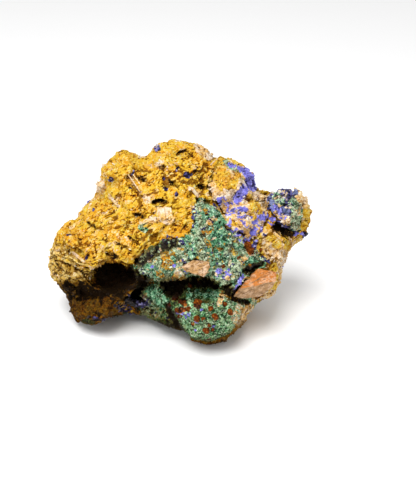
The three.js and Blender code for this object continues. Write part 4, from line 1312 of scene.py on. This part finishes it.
def strew(name, shapes, hosts, per_area, share_at, sizes, lean, sink, seed, finish, drift=0.0):
    """One mesh of many grains on the host pieces, painted darker at their feet and brighter towards their
    tips.
    """
    rng = np.random.default_rng(seed)
    places, outward, found = grown_spots(hosts, per_area, share_at, rng)
    count = len(places)
    frames = turned(outward, lean, drift, rng)
    lengths = rng.uniform(*sizes, count) * rng.uniform(0.7, 1.0, count)
    middles = places + frames[:, :, 2] * (lengths * (0.5 - sink))[:, None]
    tones = rng.random(count)
    which = rng.integers(len(shapes), size=count)
    corners, faces, owners, heights = copies(shapes, which, frames, lengths, middles)
    mesh = bpy.data.meshes.new(name)
    mesh.from_pydata((corners * MM).tolist(), [], faces.tolist())
    piece = in_scene(name, mesh)
    move_points(piece, points_of(piece))
    for mineral, share in found.items():
        keep_values(piece, mineral, share[owners])
    keep_values(piece, "tone", tones[owners])
    # painted shade at the foot of each grain, rising to a painted highlight at its tip
    keep_values(piece, "relief", SHADED_FOOT_RELIEF + RELIEF_RISE * heights)
    keep_values(piece, "shelter", np.zeros(len(owners)))
    mesh.materials.append(finish)
    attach(piece, "root")
    print(name, "has", count, "grains and", len(mesh.polygons), "faces")


# %% Shapes and hosts
shape_rng = np.random.default_rng(3)
crumbs = [crumb(shape_rng) for _ in range(8)]
prisms = [prism(shape_rng) for _ in range(6)]
blades = [flake(shape_rng, 0.8, 0.5) for _ in range(6)]
tiles = [flake(shape_rng) for _ in range(6)]
hosts = [matrix, *crusts.values()]
ochre_hosts = [matrix, crusts["malachite_face"], crusts["shoulder_spar"]]
print("shapes:", len(crumbs + prisms + blades + tiles), "and hosts:", len(hosts))

# %% Strewn pieces


def room_for_crumbs(found):
    """Where no other mineral than ochre grows, and little on the nose."""
    others = strongest(found["malachite"], found["azurite"], found["spar"], found["goethite"])
    return 1 - 0.9 * np.clip(others - found["ochre"] + 0.8 * found["nose"], 0, 1)


def room_for_prisms(found):
    """On malachite, but for its grains of goethite and most of its ochre."""
    return found["malachite"] * (1 - found["goethite"]) * (1 - 0.8 * found["ochre"])


def room_for_azurite(found):
    """On azurite, and a little on its thin powdery veins."""
    return np.clip(found["azurite"] + 0.15 * found["blue"], 0, 1)


def room_for_tiles(found):
    """On spar without blue veins."""
    return found["spar"] * (1 - found["blue"])


strew("limonite_crumbs", crumbs, ochre_hosts, 2.0, room_for_crumbs, sizes=(0.3, 0.75), lean=0.5, sink=0.58,
      seed=21, finish=finishes["limonite"], drift=2.0)
strew("malachite_crystals", prisms, hosts, 3.0, room_for_prisms, sizes=(0.4, 1.0), lean=0.9, sink=0.5,
      seed=22, finish=finishes["malachite"])
strew("azurite_blades", blades, hosts, 3.5, room_for_azurite, sizes=(0.4, 1.1), lean=0.7, sink=0.5,
      seed=23, finish=finishes["azurite"])
strew("spar_flakes", tiles, hosts, 1.6, room_for_tiles, sizes=(0.4, 1.1), lean=0.7, sink=0.6,
      seed=24, finish=finishes["pale_spar"])

# %% [markdown]
# ## Single blades and grains
#
# A few crystals are large enough to know one by one: long cream blades of spar lying in the ochre, a striped
# bundle of them, and the round brown grains of goethite in the lobe. Each is given by its place on the
# display plane, and a ray from the eye through that place finds the surface that carries it.

# %% Finding the surface
EYE = PLANE_CENTRE - FORWARD * VIEWING_DISTANCE


def on_surface(a, b):
    """The point of the stone seen at a place, in millimetres, and the outward direction there."""
    through = PLANE_CENTRE + a * RIGHT + b * UP
    hit, outward, _, _ = specimen_tree.ray_cast(Vector(EYE * MM), Vector(through - EYE))
    return np.array(hit) / MM, np.array(outward)


# %% Blades
LONG_BLADES = [
    ((-24.0, 20.2), (-20.4, 15.0), 0.28), ((-22.6, 20.2), (-20.6, 17.4), 0.22),
    ((-20.4, 5.2), (-15.8, 7.0), 0.8), ((-17.6, 7.4), (-15.6, 6.2), 0.5), ((-10.2, 7.4), (-11.6, 5.2), 0.5),
    ((2.8, 25.0), (0.8, 23.2), 0.45), ((14.2, 4.2), (12.2, 0.6), 0.6), ((9.4, 20.6), (11.8, 15.4), 0.6),
    ((12.0, 17.4), (13.4, 13.0), 0.6), ((3.4, 14.6), (5.8, 11.4), 0.6), ((-33.6, 17.6), (-31.6, 15.4), 0.8),
    ((-29.6, 13.6), (-27.4, 10.8), 0.6), ((-4.6, 15.8), (-3.0, 13.6), 0.6), ((20.0, 2.6), (22.4, 0.4), 0.6),
    ((-40.6, -3.4), (-37.4, -6.2), 0.7),
]
BUNDLE_BLADES = 6
BLADE_THICKNESS = 0.35
BLADE_BEVEL = 0.12


def bundle_blade(i):
    """One blade of the striped bundle, where they lie side by side with uneven ends."""
    return (-15.0 + 0.7 * i, 10.4 - 0.15 * (i % 3)), (-14.6 + 0.75 * i, 6.6 + 0.4 * (i % 2)), 0.5


def add_blade(shape, start, end, width, rng):
    """A long flat crystal lying on the surface between two places."""
    (foot, outward), (head, _) = on_surface(*start), on_surface(*end)
    along = head - foot
    length = np.linalg.norm(along)
    z_axis = along / length
    x_axis = np.cross(outward, z_axis)
    x_axis /= np.linalg.norm(x_axis)
    y_axis = np.cross(z_axis, x_axis)
    made = bmesh.ops.create_cube(shape, size=1.0)["verts"]
    slant = rng.uniform(-0.5, 0.5)
    sizes = np.array((width, 2 * width * BLADE_THICKNESS, length))
    middle = (foot + head) / 2 + rng.uniform(-0.1, 0.1) * y_axis
    for vertex in made:
        local = np.array(vertex.co) * sizes
        local[2] += slant * local[0]
        vertex.co = Vector((middle + np.column_stack((x_axis, y_axis, z_axis)) @ local) * MM)
    edges = list({edge for vertex in made for edge in vertex.link_edges})
    bmesh.ops.bevel(shape, geom=edges, offset=BLADE_BEVEL * width * MM, affect="EDGES", segments=1,
                    profile=0.5, material=-1)


blade_rng = np.random.default_rng(8)
blades_shape = bmesh.new()
for start, end, width in LONG_BLADES + [bundle_blade(i) for i in range(BUNDLE_BLADES)]:
    add_blade(blades_shape, start, end, width, blade_rng)
bmesh.ops.recalc_face_normals(blades_shape, faces=blades_shape.faces[:])


def finished_piece(name, shape, finish, relief, tone):
    """A bmesh as a piece of the specimen, with its values kept for the finish."""
    mesh = bpy.data.meshes.new(name)
    shape.to_mesh(mesh)
    shape.free()
    piece = in_scene(name, mesh)
    paint(piece, tone)
    keep_values(piece, "relief", np.full(len(mesh.vertices), relief))
    keep_values(piece, "shelter", np.zeros(len(mesh.vertices)))
    mesh.materials.append(finish)
    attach(piece, "root")
    print(name, "has", len(mesh.polygons), "faces")


finished_piece("spar_blades", blades_shape, finishes["pale_spar"], relief=0.55, tone=0.55)

# %% Round grains
LUMPINESS = 0.6
LUMPS_TO_A_MM = 1.2
LIFT_OF_GRAINS = 0.05

grains_shape = bmesh.new()
for radius, *places in GOETHITE_GRAINS:
    for a, b in places:
        middle, outward = on_surface(a, b)
        centre = Vector((middle + LIFT_OF_GRAINS * radius * outward) * MM)
        ball = bmesh.ops.create_icosphere(grains_shape, subdivisions=2, radius=radius * MM)["verts"]
        for vertex in ball:
            lumpy = 1 + LUMPINESS * noise.noise(vertex.co / MM * LUMPS_TO_A_MM + Vector((a, b, 0)))
            vertex.co = vertex.co * lumpy + centre
# The lobe carries the grains.
finished_piece("goethite_grains", grains_shape, finishes["goethite"],
               relief=0.5, tone=0.5)

# %% [markdown]
# ## Floor and light
#
# The stone lies on a wide pale floor. One broad lamp above and in front models the crumbs with small crisp
# shadows, a wide weak one opens the shadows from the left, and the pale world does the rest.

# %% Floor
FLOOR_HALF = 3.0
PAPER_WHITE = (0.93, 0.93, 0.93, 1)

floor_shape = bmesh.new()
bmesh.ops.create_grid(floor_shape, x_segments=1, y_segments=1, size=FLOOR_HALF)
floor_mesh = bpy.data.meshes.new("floor")
floor_shape.to_mesh(floor_mesh)
floor_shape.free()
floor = in_scene("floor", floor_mesh)
paper = bpy.data.materials.new("paper")
paper.use_nodes = True
paper_surface = paper.node_tree.nodes["Principled BSDF"]
paper_surface.inputs["Base Color"].default_value = PAPER_WHITE
paper_surface.inputs["Roughness"].default_value = 0.9
floor_mesh.materials.append(paper)
print("floor:", 2 * FLOOR_HALF, "m wide")

# %% Lamps
LAMP_AIM = Vector((0, 0, 0.025))
SKY_STRENGTH = 0.66


def lamp(name, place, size, power):
    """A square lamp at a place in metres, aimed at the stone."""
    light = bpy.data.lights.new(name, "AREA")
    light.size = size
    light.energy = power
    holder = in_scene(name, light)
    holder.location = place
    holder.rotation_euler = (LAMP_AIM - Vector(place)).to_track_quat("-Z", "Y").to_euler()
    print(name, "lamp:", power, "W")


lamp("key", (-0.08, -0.28, 0.52), size=0.30, power=3.75)
lamp("fill", (-0.45, -0.45, 0.25), size=0.5, power=0.9)
world = bpy.data.worlds.new("studio")
world.use_nodes = True
sky = world.node_tree.nodes["Background"]
sky.inputs["Color"].default_value = (1, 1, 1, 1)
sky.inputs["Strength"].default_value = SKY_STRENGTH
bpy.context.scene.world = world
